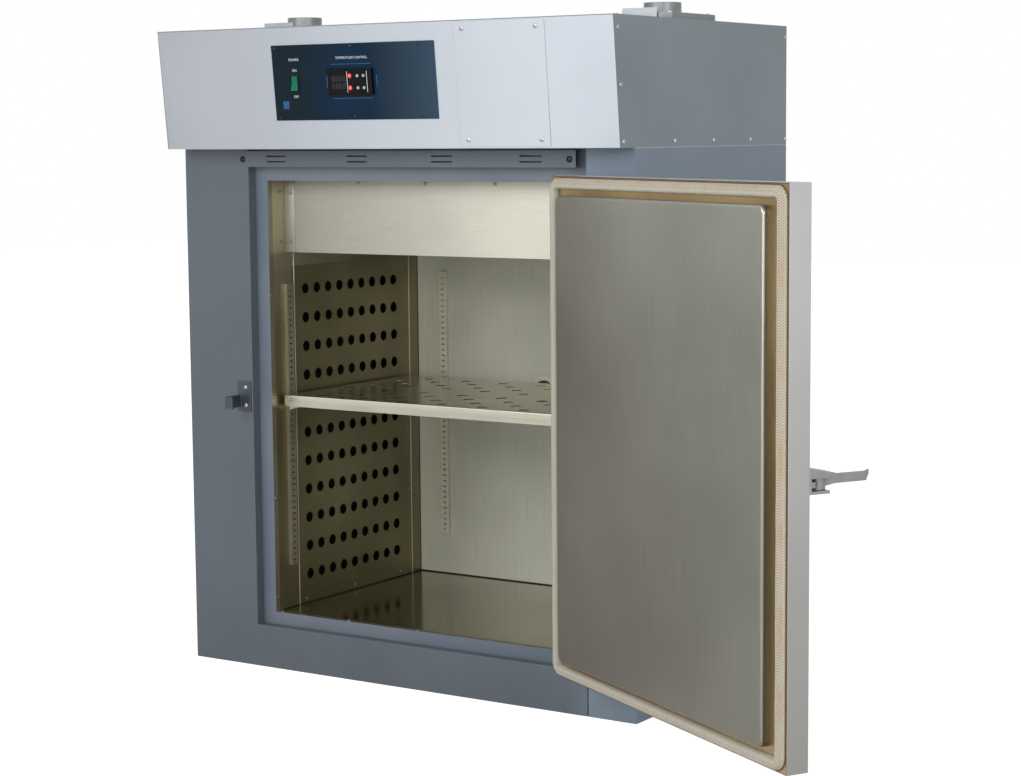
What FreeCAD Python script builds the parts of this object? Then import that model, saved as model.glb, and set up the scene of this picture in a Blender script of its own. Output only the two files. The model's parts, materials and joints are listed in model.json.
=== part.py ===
"""Laboratory drying oven with forced air: cabinet, hood, chamber, shelf and plug door.

Millimetres. The origin is the centre of the cabinet's footprint on the floor, +Z is up, +X is the
viewer's right and the front faces -Y. The door stands open as in normal loading, and the latch lever
is pulled out. Sizes are kept on the sheet "Sizes", and every piece is bound to them.
"""
import FreeCAD, Part
import math
import os
import Sketcher

SIZES = {
    # cabinet
    "cab_width": 1114, "cab_depth": 634, "body_height": 1109, "panel_gauge": 1.5, "fold": 20,
    "stile_width": 173, "flange_width": 109, "rail_height": 90.6, "recess_depth": 24, "seam_gap": 2,
    # hood
    "hood_height": 246, "hood_lip_low": 54, "hood_lip_high": 79,
    # door opening and chamber
    "frame_left": 32.5, "frame_right": 60, "sill_height": 117.5, "head_room": 67,
    "chamber_back": 563, "liner_gauge": 1.2, "duct_depth": 50, "frame_lip": 14,
    # side ducts
    "duct_front": 98, "duct_rear": 512, "duct_low": 121, "duct_head": 31, "air_hole": 23,
    "air_hole_sides": 6, "air_columns": 9, "air_first_back": 145, "air_first_up": 181,
    "air_pitch_back": 40.25, "air_pitch_up": 62.6,
    # plenum, blower and heater
    "plenum_front": 77, "plenum_height": 153, "blower_back": 320, "inlet_radius": 80,
    "wheel_radius": 105, "wheel_height": 52, "wheel_lift": 24, "blade_count": 12, "blade_gauge": 2,
    "blade_depth": 26, "shaft_radius": 8, "shaft_fit": 0.05, "shaft_hole": 18, "motor_radius": 78,
    "motor_height": 150, "motor_foot": 14, "motor_bore_depth": 40, "heater_tube": 4.2,
    "heater_sides": 8, "heater_count": 3, "heater_pitch": 36, "heater_stub": 50,
    # shelf and its strips
    "strip_low": 212, "strip_head": 36.4, "strip_width": 20, "strip_depth": 8, "strip_gauge": 1.5,
    "strip_front": 82, "strip_rear_inset": 75.5, "slot_pitch": 12.7, "slot_height": 3.2,
    "slot_width": 8, "slot_margin": 9, "shelf_top": 585, "shelf_lip": 24, "shelf_front": 54,
    "shelf_depth": 457, "shelf_gap": 2.5, "shelf_gauge": 1.5, "shelf_hole": 22, "shelf_hole_sides": 6,
    "shelf_pitch_across": 100, "shelf_pattern_shift": 10, "shelf_row_first": 22,
    "shelf_row_pitch": 49, "shelf_block_pitch": 233, "clip_height": 10,
    "clip_width": 16, "clip_reach": 26, "clip_rear_reach": 66, "seat_gap": 0.3,
    # access port
    "port_across": -6, "port_height": 558, "port_radius": 26.5, "port_wall": 3, "port_rim": 6,
    "socket_step": 1.5, "plug_clearance": 0.3, "plug_stem": 24, "plug_cap": 36, "plug_cap_gauge": 8,
    # door
    "door_open_angle": 150, "door_gap": 4, "door_gap_low": 12.4, "door_gap_high": 13,
    "door_thickness": 42, "door_proud": 30, "door_gauge": 1.5, "plug_margin": 46,
    "plug_margin_low": 36, "plug_rise": 20, "plug_corner": 14, "plug_edge": 5, "gasket_width": 20,
    "gasket_inset": 4, "gasket_corner": 26, "gasket_edge": 4,
    # hinges
    "hinge_inset": 11, "hinge_across": 21, "hinge_forward": 38, "barrel_radius": 8, "pin_radius": 4,
    "running_fit": 0.05, "leaf_gauge": 4, "leaf_reach": 66, "flange_leaf": 54, "hinge_length": 100,
    "hinge_low": 190, "hinge_high": 880, "knuckle_gap": 0.3,
    # latch
    "latch_height": 574, "latch_inset": 22, "latch_reach": 30, "latch_base": 4, "ledge_gauge": 5,
    "ledge_reach": 39, "wedge_root": 17.5, "wedge_tip": 7, "wedge_reach": 52, "lever_pin": 5,
    "hub_radius": 12, "hub_height": 20, "lever_gauge": 5, "lever_height": 16, "lever_length": 93,
    "lever_step": 33, "lever_rise": 5, "lever_flare": 5, "bolt_height": 10, "bolt_width": 8,
    "bolt_length": 40, "bolt_rest": 2, "strike_width": 36, "strike_height": 64, "strike_lift": 10,
    "strike_gauge": 3, "strike_inset": 4, "strike_screw_pitch": 38, "strike_screw_in": 13,
    "keeper_across": 26, "keeper_height": 26, "keeper_forward": 52, "keeper_lip": 20,
    "keeper_gauge": 4,
    # header strip
    "bar_drop": 4.5, "bar_height": 33.5, "bar_left": 7, "bar_right": 22, "bar_depth": 18,
    "vent_first": 51, "vent_pitch": 210.3, "vent_length": 51, "vent_height": 2.6, "vent_up": 9.5,
    "vent_row_pitch": 11.5, "vent_count": 4, "bolt_left": 14, "bolt_right": 36, "bolt_up": 16,
    "bolt_head": 6.5, "bolt_head_height": 3.5, "screw_head": 4.6, "screw_head_height": 2.2,
    # control panel
    "panel_across": -254, "panel_width": 405, "panel_up": 58, "panel_height": 152,
    "overlay_gauge": 1.5, "switch_across": -200, "switch_up": 132, "switch_width": 24,
    "switch_height": 40, "switch_rim": 2, "switch_wall": 3, "switch_depth": 24, "rocker_width": 16,
    "rocker_height": 30, "rocker_front": 6, "rocker_back": 3, "rocker_angle": 8, "rocker_pin": 1.5,
    "control_across": -55, "control_up": 134, "bezel_width": 110, "bezel_height": 52,
    "bezel_depth": 7, "case_width": 92, "case_height": 44, "case_depth": 80, "display_width": 40,
    "display_height": 34, "display_in": 8, "display_gauge": 1.2, "key_radius": 3, "key_proud": 2,
    "key_depth": 4, "key_fit": 0.1, "key_first": 76, "key_pitch": 15, "key_rows": 24,
    "key_travel": 1.2,
    # access cover
    "cover_across": 199, "cover_width": 206, "cover_up": 3, "cover_height": 240, "cover_screw_in": 19,
    "cover_screw_up": 13, "cover_hole_margin": 30,
    # exhaust ports
    "exhaust_offset": 450, "exhaust_back": 262, "damper_width": 142, "damper_length": 176,
    "damper_height": 13.5, "collar_radius": 37.5, "collar_gauge": 1.5, "collar_height": 23,
    "slide_width": 78, "slide_gauge": 1.5, "slide_up": 4, "slide_fit": 0.3, "slide_lip": 19,
    "slide_out": 4, "slide_past": 6,
    # hood contents and back
    "chassis_width": 300, "chassis_height": 170, "chassis_back": 90, "contactor_size": 70,
    "gland_across": 420, "gland_height": 91, "gland_radius": 14, "gland_bore": 5, "gland_length": 22,
    "end_screw_in": 6, "end_screw_low": 11, "end_screw_high": 24, "end_screw_count": 5,
}


class Length:
    """A length known both as a number and as an expression on the sheet."""

    def __init__(self, text, value):
        self.text = text
        self.value = float(value)

    @staticmethod
    def of(item):
        if isinstance(item, Length):
            return item
        return Length("%.6f" % item, item)

    def _joined(self, other, sign, value):
        return Length("(%s %s %s)" % (self.text, sign, other.text), value)

    def __add__(self, other):
        other = Length.of(other)
        return self._joined(other, "+", self.value + other.value)

    def __sub__(self, other):
        other = Length.of(other)
        return self._joined(other, "-", self.value - other.value)

    def __mul__(self, other):
        other = Length.of(other)
        return self._joined(other, "*", self.value * other.value)

    def __truediv__(self, other):
        other = Length.of(other)
        return self._joined(other, "/", self.value / other.value)

    def __radd__(self, other):
        return Length.of(other) + self

    def __rsub__(self, other):
        return Length.of(other) - self

    def __rmul__(self, other):
        return Length.of(other) * self

    def __neg__(self):
        return Length.of(0) - self


def cosine(angle):
    return Length("cos(%s * 1 deg)" % angle.text, math.cos(math.radians(angle.value)))


def sine(angle):
    return Length("sin(%s * 1 deg)" % angle.text, math.sin(math.radians(angle.value)))


def copies_in(room, pitch):
    """How many copies stand in a length, the first at its start."""
    steps = room / pitch
    return Length("(floor(%s) + 1)" % steps.text, math.floor(steps.value) + 1)


document = FreeCAD.newDocument("DryingOven")
sheet = document.addObject("Spreadsheet::Sheet", "Sizes")
for row, (alias, number) in enumerate(SIZES.items(), start=1):
    sheet.set("A%d" % row, alias)
    sheet.set("B%d" % row, str(number))
    sheet.setAlias("B%d" % row, alias)
document.recompute()


class Dimensions:
    """Every sheet value as a Length, by its alias."""

    def __getattr__(self, alias):
        return Length("Sizes." + alias, sheet.get(alias))


D = Dimensions()

# Shared levels: x to the right, y to the back, z up.
LEFT = -D.cab_width / 2
RIGHT = D.cab_width / 2
FRONT = -D.cab_depth / 2
BACK = D.cab_depth / 2
DECK = D.body_height - D.panel_gauge
ROOF = D.body_height + D.hood_height
RECESS_LEFT = LEFT + D.stile_width
RECESS_RIGHT = RIGHT - D.flange_width
FRAME_FACE = FRONT + D.recess_depth
FRAME_REAR = FRAME_FACE + D.panel_gauge
OPEN_LEFT = RECESS_LEFT + D.frame_left
OPEN_RIGHT = RECESS_RIGHT - D.frame_right
CENTRE = (OPEN_LEFT + OPEN_RIGHT) / 2
CEILING = D.body_height - D.head_room
PLENUM_LOW = CEILING - D.plenum_height
DUCT_HIGH = PLENUM_LOW - D.duct_head
STRIP_LENGTH = DUCT_HIGH - D.strip_low - D.strip_head
REAR_WALL = FRONT + D.chamber_back
LINER_LEFT = OPEN_LEFT - D.duct_depth
LINER_RIGHT = OPEN_RIGHT + D.duct_depth
BAR_LOW = D.body_height - D.bar_drop - D.bar_height
HINGE_X = RECESS_RIGHT - D.hinge_inset
HINGE_Y = FRONT - D.hinge_forward

# Levels of the closed door, measured from the hinge axis.
DOOR_RIGHT = -D.hinge_across
DOOR_LEFT = RECESS_LEFT + D.door_gap - HINGE_X
DOOR_LOW = D.rail_height + D.door_gap_low
DOOR_HIGH = BAR_LOW - D.door_gap_high
DOOR_OUTER = D.hinge_forward - D.door_proud
DOOR_INNER = DOOR_OUTER + D.door_thickness

parts = []


def keep(item, label):
    """Names a finished sub-part, which is written as one file."""
    item.Label = label
    parts.append(item)
    return item


def scratch(kind, name):
    return document.addObject(kind, name)


def block(name, x, y, z):
    """A box between two levels on each axis."""
    box = scratch("Part::Box", name)
    for side, (low, high) in zip(("Length", "Width", "Height"), (x, y, z)):
        box.setExpression(side, (Length.of(high) - low).text)
    for axis, (low, high) in zip("xyz", (x, y, z)):
        box.setExpression("Placement.Base." + axis, Length.of(low).text)
    return box


AXIS_TURNS = {"z": (0, 0, 1, 0), "y": (1, 0, 0, -90), "x": (0, 1, 0, 90)}


def rod(name, radius, centre, length, axis="z", sides=None):
    """A cylinder, or a prism with the given number of sides, from its start along an axis."""
    item = scratch("Part::Prism" if sides else "Part::Cylinder", name)
    if sides:
        item.setExpression("Polygon", Length.of(sides).text)
        item.setExpression("Circumradius", Length.of(radius).text)
    else:
        item.setExpression("Radius", Length.of(radius).text)
    item.setExpression("Height", Length.of(length).text)
    turn_x, turn_y, turn_z, angle = AXIS_TURNS[axis]
    turn = FreeCAD.Rotation(FreeCAD.Vector(turn_x, turn_y, turn_z), angle)
    item.Placement = FreeCAD.Placement(FreeCAD.Vector(), turn)
    for letter, place in zip("xyz", centre):
        item.setExpression("Placement.Base." + letter, Length.of(place).text)
    return item


def fused(name, shapes):
    item = scratch("Part::MultiFuse", name)
    item.Shapes = shapes
    return item


def cut(name, base, tools):
    item = scratch("Part::Cut", name)
    item.Base = base
    item.Tool = tools[0] if len(tools) == 1 else fused(name + "_tools", tools)
    return item


def group(name, shapes):
    """Several separate solids in one sub-part."""
    item = scratch("Part::Compound", name)
    item.Links = shapes
    return item


def wrapped(name, item):
    """One solid wrapped so that it can be placed as a whole."""
    return group(name, [item])


PLANES = {"xy": "XY_Plane", "xz": "XZ_Plane", "yz": "YZ_Plane"}


def sketch_on(body, name, plane, level):
    """A sketch on one of the body's own planes, lifted to a level along that plane's normal."""
    sketch = body.newObject("Sketcher::SketchObject", name)
    plane_object = next(f for f in body.Origin.OriginFeatures if f.Role == PLANES[plane])
    sketch.AttachmentSupport = [(plane_object, "")]
    sketch.MapMode = "FlatFace"
    lift = -Length.of(level) if plane == "xz" else Length.of(level)
    sketch.setExpression("AttachmentOffset.Base.z", lift.text)
    return sketch


def bind_point(sketch, geometry, point, place):
    for kind, coordinate in zip(("DistanceX", "DistanceY"), place):
        coordinate = Length.of(coordinate)
        index = sketch.addConstraint(
            Sketcher.Constraint(kind, -1, 1, geometry, point, coordinate.value))
        sketch.setExpression("Constraints[%d]" % index, coordinate.text)


def draw_outline(sketch, corners):
    """A closed outline with every corner bound to its two coordinates."""
    points = [FreeCAD.Vector(Length.of(u).value, Length.of(v).value, 0) for u, v in corners]
    first = sketch.GeometryCount
    for start, end in zip(points, points[1:] + points[:1]):
        sketch.addGeometry(Part.LineSegment(start, end))
    for index in range(len(points)):
        following = first + (index + 1) % len(points)
        sketch.addConstraint(Sketcher.Constraint("Coincident", first + index, 2, following, 1))
    for index, corner in enumerate(corners):
        bind_point(sketch, first + index, 1, corner)


def rectangle(u, v):
    return [(u[0], v[0]), (u[1], v[0]), (u[1], v[1]), (u[0], v[1])]


def extrusion(body, kind, name, plane, span, outlines):
    """A pad or pocket of closed outlines between two levels along the plane's normal."""
    low, high = Length.of(span[0]), Length.of(span[1])
    sketch = sketch_on(body, name + "_sketch", plane, high if plane == "xz" else low)
    for corners in outlines:
        draw_outline(sketch, corners)
    feature = body.newObject("PartDesign::" + kind, name)
    feature.Profile = sketch
    feature.setExpression("Length", (high - low).text)
    if kind == "Pocket":
        feature.Reversed = True
    sketch.Visibility = False
    return feature


def new_body(name):
    return document.addObject("PartDesign::Body", name)


def folded(label, plane, span, corners):
    """A sheet part made as one outline, drawn on a plane and extruded between two levels."""
    body = new_body(label)
    extrusion(body, "Pad", label + "_sheet", plane, span, [corners])
    return keep(body, label)


def round_edges(body, name, direction, radius, picked=None, kind="Fillet"):
    """Rounds or chamfers the straight edges of the last feature that run along a direction."""
    document.recompute()
    shape = body.Tip.Shape
    names = []
    for index, edge in enumerate(shape.Edges, start=1):
        along = edge.tangentAt(edge.FirstParameter)
        straight = isinstance(edge.Curve, (Part.Line, Part.LineSegment))
        if straight and abs(along.dot(direction)) > 0.999 and (picked is None or picked(edge)):
            names.append("Edge%d" % index)
    base = body.Tip
    dressed = body.newObject("PartDesign::" + kind, name)
    dressed.Base = (base, names)
    dressed.setExpression("Radius" if kind == "Fillet" else "Size", Length.of(radius).text)
    return dressed


def circle_corners(u, v, radius, sides):
    """The corners of a regular outline of the given size across its corners."""
    count = int(Length.of(sides).value)
    corners = []
    for index in range(count):
        turn = Length.of(360.0 * (index + 0.5) / count)
        corners.append((u + radius * cosine(turn), v + radius * sine(turn)))
    return corners


def revolved(body, name, corners):
    """A half section on the XZ plane turned about the body's own Z axis."""
    sketch = sketch_on(body, name + "_sketch", "xz", 0)
    draw_outline(sketch, corners)
    feature = body.newObject("PartDesign::Revolution", name)
    feature.Profile = sketch
    feature.ReferenceAxis = (sketch, ["V_Axis"])
    feature.Angle = 360
    sketch.Visibility = False
    return feature


def patterned(body, name, feature, axis, pitch, count, second=None):
    """A linear pattern along one sketch axis, or along both."""
    pattern = body.newObject("PartDesign::LinearPattern", name)
    pattern.Originals = [feature]
    pattern.Mode = "Spacing"
    pattern.Direction = (feature.Profile[0], [axis])
    pattern.setExpression("Offset", Length.of(pitch).text)
    pattern.setExpression("Occurrences", Length.of(count).text)
    if second:
        pattern.Mode2 = "Spacing"
        pattern.Direction2 = (feature.Profile[0], [second[0]])
        pattern.setExpression("Offset2", Length.of(second[1]).text)
        pattern.setExpression("Occurrences2", Length.of(second[2]).text)
    body.Tip = pattern
    return pattern


def place(item, x, y, z, turn=None, about=(0, 0, 1)):
    """Moves a finished piece to its place, bound to the sheet, with an optional turn."""
    item.Placement = FreeCAD.Placement(FreeCAD.Vector(), FreeCAD.Rotation(FreeCAD.Vector(*about), 1))
    for letter, level in zip("xyz", (x, y, z)):
        item.setExpression("Placement.Base." + letter, Length.of(level).text)
    item.setExpression("Placement.Rotation.Angle", Length.of(turn or 0).text)
    return item


def on_door(item):
    """Puts a piece drawn on the closed door, with the hinge axis as its origin, on the open door."""
    return place(item, HINGE_X, HINGE_Y, 0, D.door_open_angle)


def on_fascia(item):
    """Puts a piece drawn on an upright plane on the leaning front of the hood."""
    rise = D.hood_lip_high - D.hood_lip_low
    lean = Length("atan(%s / %s)" % (rise.text, D.hood_height.text),
                  math.degrees(math.atan2(rise.value, D.hood_height.value)))
    return place(item, 0, FRONT - D.hood_lip_low, D.body_height, lean, (1, 0, 0))


def make_front_frame():
    """Left stile and bottom rail: one folded tray, open at the back."""
    body = new_body("front_frame")
    gauge = D.panel_gauge
    right = RECESS_RIGHT - D.seam_gap
    rail = D.rail_height
    outer = [(LEFT, 0), (right, 0), (right, rail), (RECESS_LEFT, rail), (RECESS_LEFT, DECK), (LEFT, DECK)]
    inner = [(LEFT + gauge, gauge), (right - gauge, gauge), (right - gauge, rail - gauge),
             (RECESS_LEFT - gauge, rail - gauge), (RECESS_LEFT - gauge, DECK - gauge),
             (LEFT + gauge, DECK - gauge)]
    extrusion(body, "Pad", "frame_block", "xz", (FRONT, FRAME_FACE), [outer])
    extrusion(body, "Pocket", "frame_hollow", "xz", (FRONT + gauge, FRAME_FACE), [inner])
    return keep(body, "front_frame")


def make_side_panels():
    """Left panel behind the stile, and right panel with the front flange that carries the hinges."""
    gauge, fold = D.panel_gauge, D.fold
    rear = BACK - gauge
    folded("side_panel_left", "xy", (0, DECK), [
        (LEFT, FRAME_FACE), (LEFT + fold, FRAME_FACE), (LEFT + fold, FRAME_REAR),
        (LEFT + gauge, FRAME_REAR), (LEFT + gauge, rear - gauge), (LEFT + fold, rear - gauge),
        (LEFT + fold, rear), (LEFT, rear)])
    folded("side_panel_right", "xy", (0, DECK), [
        (RECESS_RIGHT, FRONT), (RIGHT, FRONT), (RIGHT, rear), (RIGHT - fold, rear),
        (RIGHT - fold, rear - gauge), (RIGHT - gauge, rear - gauge), (RIGHT - gauge, FRONT + gauge),
        (RECESS_RIGHT + gauge, FRONT + gauge), (RECESS_RIGHT + gauge, FRAME_FACE),
        (RECESS_RIGHT, FRAME_FACE)])


def blower_axis():
    return CENTRE, FRONT + D.blower_back


def sleeve_radius():
    return D.port_radius + D.port_wall


def port_drill(name, front, rear):
    """The hole that a wall needs to let the port sleeve through."""
    return rod(name, sleeve_radius() + D.seat_gap, (D.port_across, front, D.port_height),
               rear - front, "y")


def shaft_drill(name, low, high):
    x, y = blower_axis()
    return rod(name, D.shaft_hole, (x, y, low), high - low)


def make_outer_walls():
    gauge = D.panel_gauge
    back = block("back_sheet", (LEFT, RIGHT), (BACK - gauge, BACK), (0, DECK))
    keep(cut("back_panel", back, [port_drill("back_hole", BACK - gauge - 1, BACK + 1)]), "back_panel")
    deck = block("deck_sheet", (LEFT, RIGHT), (FRONT, BACK), (DECK, D.body_height))
    keep(cut("top_deck", deck, [shaft_drill("deck_hole", DECK - 1, D.body_height + 1)]), "top_deck")
    low, high = LEFT + gauge, RIGHT - gauge
    folded("base_pan", "xz", (FRAME_REAR, BACK - 2 * gauge), [
        (low, 0), (high, 0), (high, D.fold), (high - gauge, D.fold), (high - gauge, gauge),
        (low + gauge, gauge), (low + gauge, D.fold), (low, D.fold)])


def make_door_frame():
    """Recessed plate that the gasket meets, with a lip round the opening."""
    body = new_body("door_frame")
    gauge = D.panel_gauge
    opening = rectangle((OPEN_LEFT, OPEN_RIGHT), (D.sill_height, CEILING))
    lip = rectangle((OPEN_LEFT - gauge, OPEN_RIGHT + gauge), (D.sill_height - gauge, CEILING + gauge))
    plate = rectangle((RECESS_LEFT - gauge, RECESS_RIGHT + gauge), (D.rail_height - gauge, DECK))
    extrusion(body, "Pad", "frame_plate", "xz", (FRAME_FACE, FRAME_REAR), [plate, opening])
    extrusion(body, "Pad", "frame_lip", "xz", (FRAME_FACE, FRAME_FACE + D.frame_lip), [lip, opening])
    keep(body, "door_frame")


def make_header_strip():
    """Slotted bar over the door, folded back along both long edges, with its two bolts."""
    body = new_body("header_strip")
    gauge = D.panel_gauge
    left, right = RECESS_LEFT - D.bar_left, RECESS_RIGHT - D.bar_right
    low, high = BAR_LOW, BAR_LOW + D.bar_height
    extrusion(body, "Pad", "bar_face", "xz", (FRONT - gauge, FRONT), [rectangle((left, right), (low, high))])
    inner = RECESS_LEFT + D.seat_gap
    extrusion(body, "Pad", "bar_folds", "xz", (FRONT, FRONT + D.bar_depth), [
        rectangle((inner, right), (low, low + gauge)), rectangle((inner, right), (high - gauge, high))])
    slots = []
    for row in range(2):
        base = low + D.vent_up + D.vent_row_pitch * row
        start = RECESS_LEFT + D.vent_first
        slots.append(rectangle((start, start + D.vent_length), (base, base + D.vent_height)))
    slot = extrusion(body, "Pocket", "vent_slots", "xz", (FRONT - 2 * gauge, FRONT + gauge), slots)
    patterned(body, "vent_row", slot, "H_Axis", D.vent_pitch, D.vent_count)
    keep(body, "header_strip")


def insulation_bounds():
    gauge = D.panel_gauge
    return (LEFT + 2 * gauge, RIGHT - 2 * gauge), (FRAME_REAR, BACK - 2 * gauge), (gauge, DECK)


def make_insulation():
    """Wool between the liner and the outer walls."""
    thin = D.liner_gauge
    wool = block("wool", *insulation_bounds())
    core = block("wool_core", (LINER_LEFT - thin, LINER_RIGHT + thin), (FRAME_REAR - 1, REAR_WALL + thin),
                 (D.sill_height - thin - D.panel_gauge, CEILING + thin + D.panel_gauge))
    drills = [port_drill("wool_port", REAR_WALL, BACK), shaft_drill("wool_shaft", CEILING, DECK + 1)]
    keep(cut("insulation", wool, [core] + drills), "insulation")


def make_liner():
    """Polished walls of the chamber and of the air ducts beside it."""
    thin = D.liner_gauge
    wide = (LINER_LEFT, LINER_RIGHT)
    deep = (FRAME_FACE + D.frame_lip, REAR_WALL)
    keep(block("liner_floor", wide, deep, (D.sill_height - thin, D.sill_height)), "liner_floor")
    top = block("ceiling_sheet", wide, deep, (CEILING, CEILING + thin))
    keep(cut("liner_ceiling", top, [shaft_drill("ceiling_hole", CEILING - 1, CEILING + thin + 1)]),
         "liner_ceiling")
    tall = (D.sill_height - thin, CEILING + thin)
    sides = [block("liner_side_" + name, span, (FRAME_REAR, REAR_WALL), tall)
             for name, span in (("left", (LINER_LEFT - thin, LINER_LEFT)),
                                ("right", (LINER_RIGHT, LINER_RIGHT + thin)))]
    keep(group("liner_sides", sides), "liner_sides")
    rear = block("rear_sheet", (LINER_LEFT - thin, LINER_RIGHT + thin), (REAR_WALL, REAR_WALL + thin), tall)
    keep(cut("liner_back", rear, [port_drill("rear_hole", REAR_WALL - 1, REAR_WALL + thin + 1)]),
         "liner_back")


def side_sheets():
    """Each side's name and the span of its duct sheet across the oven."""
    return (("left", (OPEN_LEFT - D.liner_gauge, OPEN_LEFT)),
            ("right", (OPEN_RIGHT, OPEN_RIGHT + D.liner_gauge)))


def make_ducts():
    """Side sheets that rise in front of the plenum, each with a window for a perforated panel."""
    window = (FRONT + D.duct_front, FRONT + D.duct_rear), (D.duct_low, DUCT_HIGH)
    near, step = FRAME_FACE + D.frame_lip, FRONT + D.plenum_front + D.fold
    top = CEILING - D.seat_gap
    frames = []
    for name, span in side_sheets():
        body = new_body("duct_frame_" + name)
        whole = [(near, D.sill_height), (REAR_WALL, D.sill_height), (REAR_WALL, PLENUM_LOW),
                 (step, PLENUM_LOW), (step, top), (near, top)]
        extrusion(body, "Pad", "duct_sheet_" + name, "yz", span, [whole, rectangle(*window)])
        frames.append(body)
        make_duct_panel("duct_panel_" + name, span, window)
    keep(group("duct_frames", frames), "duct_frames")


def make_duct_panel(label, span, window):
    body = new_body(label)
    gap = D.seat_gap
    sheet_outline = rectangle(*((low + gap, high - gap) for low, high in window))
    extrusion(body, "Pad", label + "_sheet", "yz", span, [sheet_outline])
    hole = circle_corners(FRONT + D.air_first_back, D.air_first_up, D.air_hole / 2, D.air_hole_sides)
    first = extrusion(body, "Pocket", label + "_hole", "yz", (span[0] - 1, span[1] + 1), [hole])
    rows = copies_in(DUCT_HIGH - D.air_first_up - D.air_hole, D.air_pitch_up)
    patterned(body, label + "_holes", first, "H_Axis", D.air_pitch_back, D.air_columns,
              ("V_Axis", D.air_pitch_up, rows))
    keep(body, label)


def make_plenum():
    """Front cover and horizontal baffle that close off the blower above the chamber."""
    thin = D.liner_gauge
    gap = D.seat_gap
    face = FRONT + D.plenum_front
    low = PLENUM_LOW
    wide = (OPEN_LEFT + gap, OPEN_RIGHT - gap)
    folded("plenum_cover", "yz", wide, [
        (face, low), (face + D.fold, low), (face + D.fold, low + thin), (face + thin, low + thin),
        (face + thin, CEILING - gap), (face, CEILING - gap)])
    body = new_body("baffle_plate")
    outline = rectangle(wide, (face + thin, REAR_WALL - gap))
    extrusion(body, "Pad", "baffle_sheet", "xy", (low + thin, low + 2 * thin), [outline])
    x, y = blower_axis()
    inlet = rod("inlet_hole", D.inlet_radius, (x, y, low), 4 * thin)
    keep(cut("plenum_baffle", body, [inlet]), "plenum_baffle")


def wheel_low():
    return PLENUM_LOW + 2 * D.liner_gauge + D.wheel_lift


def make_blower():
    """Centrifugal wheel with its shaft, and the motor on the deck that turns it."""
    x, y = blower_axis()
    body = new_body("blower_wheel")
    high, gauge = D.wheel_height, D.blade_gauge
    hub, shaft = D.shaft_radius + 10, D.shaft_radius
    shaft_top = D.body_height + D.motor_bore_depth - wheel_low()
    revolved(body, "wheel_plate", [
        (0, high - 20), (hub, high - 20), (hub, high - gauge), (D.wheel_radius, high - gauge),
        (D.wheel_radius, high), (hub, high), (hub, high + 8), (shaft, high + 8), (shaft, shaft_top),
        (0, shaft_top)])
    inner = D.wheel_radius - D.blade_depth
    blade = extrusion(body, "Pad", "blade", "xy", (0, high - gauge / 2), [[
        (inner, 0), (D.wheel_radius - gauge, D.blade_depth / 2),
        (D.wheel_radius - gauge, D.blade_depth / 2 + gauge), (inner, gauge)]])
    ring = body.newObject("PartDesign::PolarPattern", "blades")
    ring.Originals = [blade]
    ring.Axis = (blade.Profile[0], ["N_Axis"])
    ring.Angle = 360
    ring.setExpression("Occurrences", D.blade_count.text)
    body.Tip = ring
    revolved(body, "shroud", [(inner, 0), (D.wheel_radius, 0), (D.wheel_radius, gauge), (inner, gauge)])
    place(body, x, y, wheel_low())
    keep(body, "blower_wheel")

    motor = new_body("blower_motor")
    bore = D.shaft_radius + D.shaft_fit
    radius = D.motor_radius
    revolved(motor, "motor_can", [
        (bore, 0), (radius + D.motor_foot, 0), (radius + D.motor_foot, 6), (radius, 6),
        (radius, D.motor_height - 12),
        (radius - 16, D.motor_height), (0, D.motor_height), (0, D.motor_bore_depth + 2),
        (bore, D.motor_bore_depth + 2)])
    place(motor, x, y, D.body_height)
    keep(motor, "blower_motor")


def make_heater():
    """Sheathed hairpins that hang from the chamber ceiling beside the wheel."""
    tube = D.heater_tube
    start_x = CENTRE + D.wheel_radius + D.fold
    end_x = OPEN_RIGHT - D.fold
    top = CEILING - D.seat_gap
    low = top - 2 * D.heater_stub
    hairpins = []
    for index in range(int(D.heater_count.value)):
        depth = FRONT + D.blower_back + D.heater_pitch * (index - 1)
        legs = [rod("heater_leg_%d_%d" % (index, side), tube, (x, depth, low), top - low, "z", D.heater_sides)
                for side, x in enumerate((start_x, end_x))]
        run = rod("heater_run_%d" % index, tube, (start_x - tube, depth, low), end_x - start_x + 2 * tube,
                  "x", D.heater_sides)
        hairpins.append(fused("hairpin_%d" % index, legs + [run]))
    keep(group("heater_elements", hairpins), "heater_elements")


def slotted_strip(name):
    """An upright channel with a column of slots, its face towards -Y of its own frame."""
    body = new_body(name)
    half, deep, wall = D.strip_width / 2, D.strip_depth, D.strip_gauge
    extrusion(body, "Pad", name + "_channel", "xy", (0, STRIP_LENGTH), [[
        (-half, 0), (-half, -deep), (half, -deep), (half, 0), (half - wall, 0),
        (half - wall, wall - deep), (wall - half, wall - deep), (wall - half, 0)]])
    slot_half = D.slot_width / 2
    slot = extrusion(body, "Pocket", name + "_slot", "xz", (-deep - 1, wall - deep + 1), [
        rectangle((-slot_half, slot_half), (D.slot_margin, D.slot_margin + D.slot_height))])
    count = copies_in(STRIP_LENGTH - 2 * D.slot_margin - D.slot_height, D.slot_pitch)
    patterned(body, name + "_slots", slot, "V_Axis", D.slot_pitch, count)
    return body


def strip_stations():
    """Name, place on the wall and turn of the four strips."""
    front, inset = FRONT + D.strip_front, D.strip_rear_inset
    return (("front_left", OPEN_LEFT, front, 90), ("front_right", OPEN_RIGHT, front, -90),
            ("rear_left", OPEN_LEFT + inset, REAR_WALL, 0),
            ("rear_right", OPEN_RIGHT - inset, REAR_WALL, 0))


def make_shelf_strips():
    strips = [place(slotted_strip("strip_" + name), x, y, D.strip_low, turn)
              for name, x, y, turn in strip_stations()]
    keep(group("shelf_strips_front", strips[:2]), "shelf_strips_front")
    keep(group("shelf_strips_rear", strips[2:]), "shelf_strips_rear")


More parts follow.
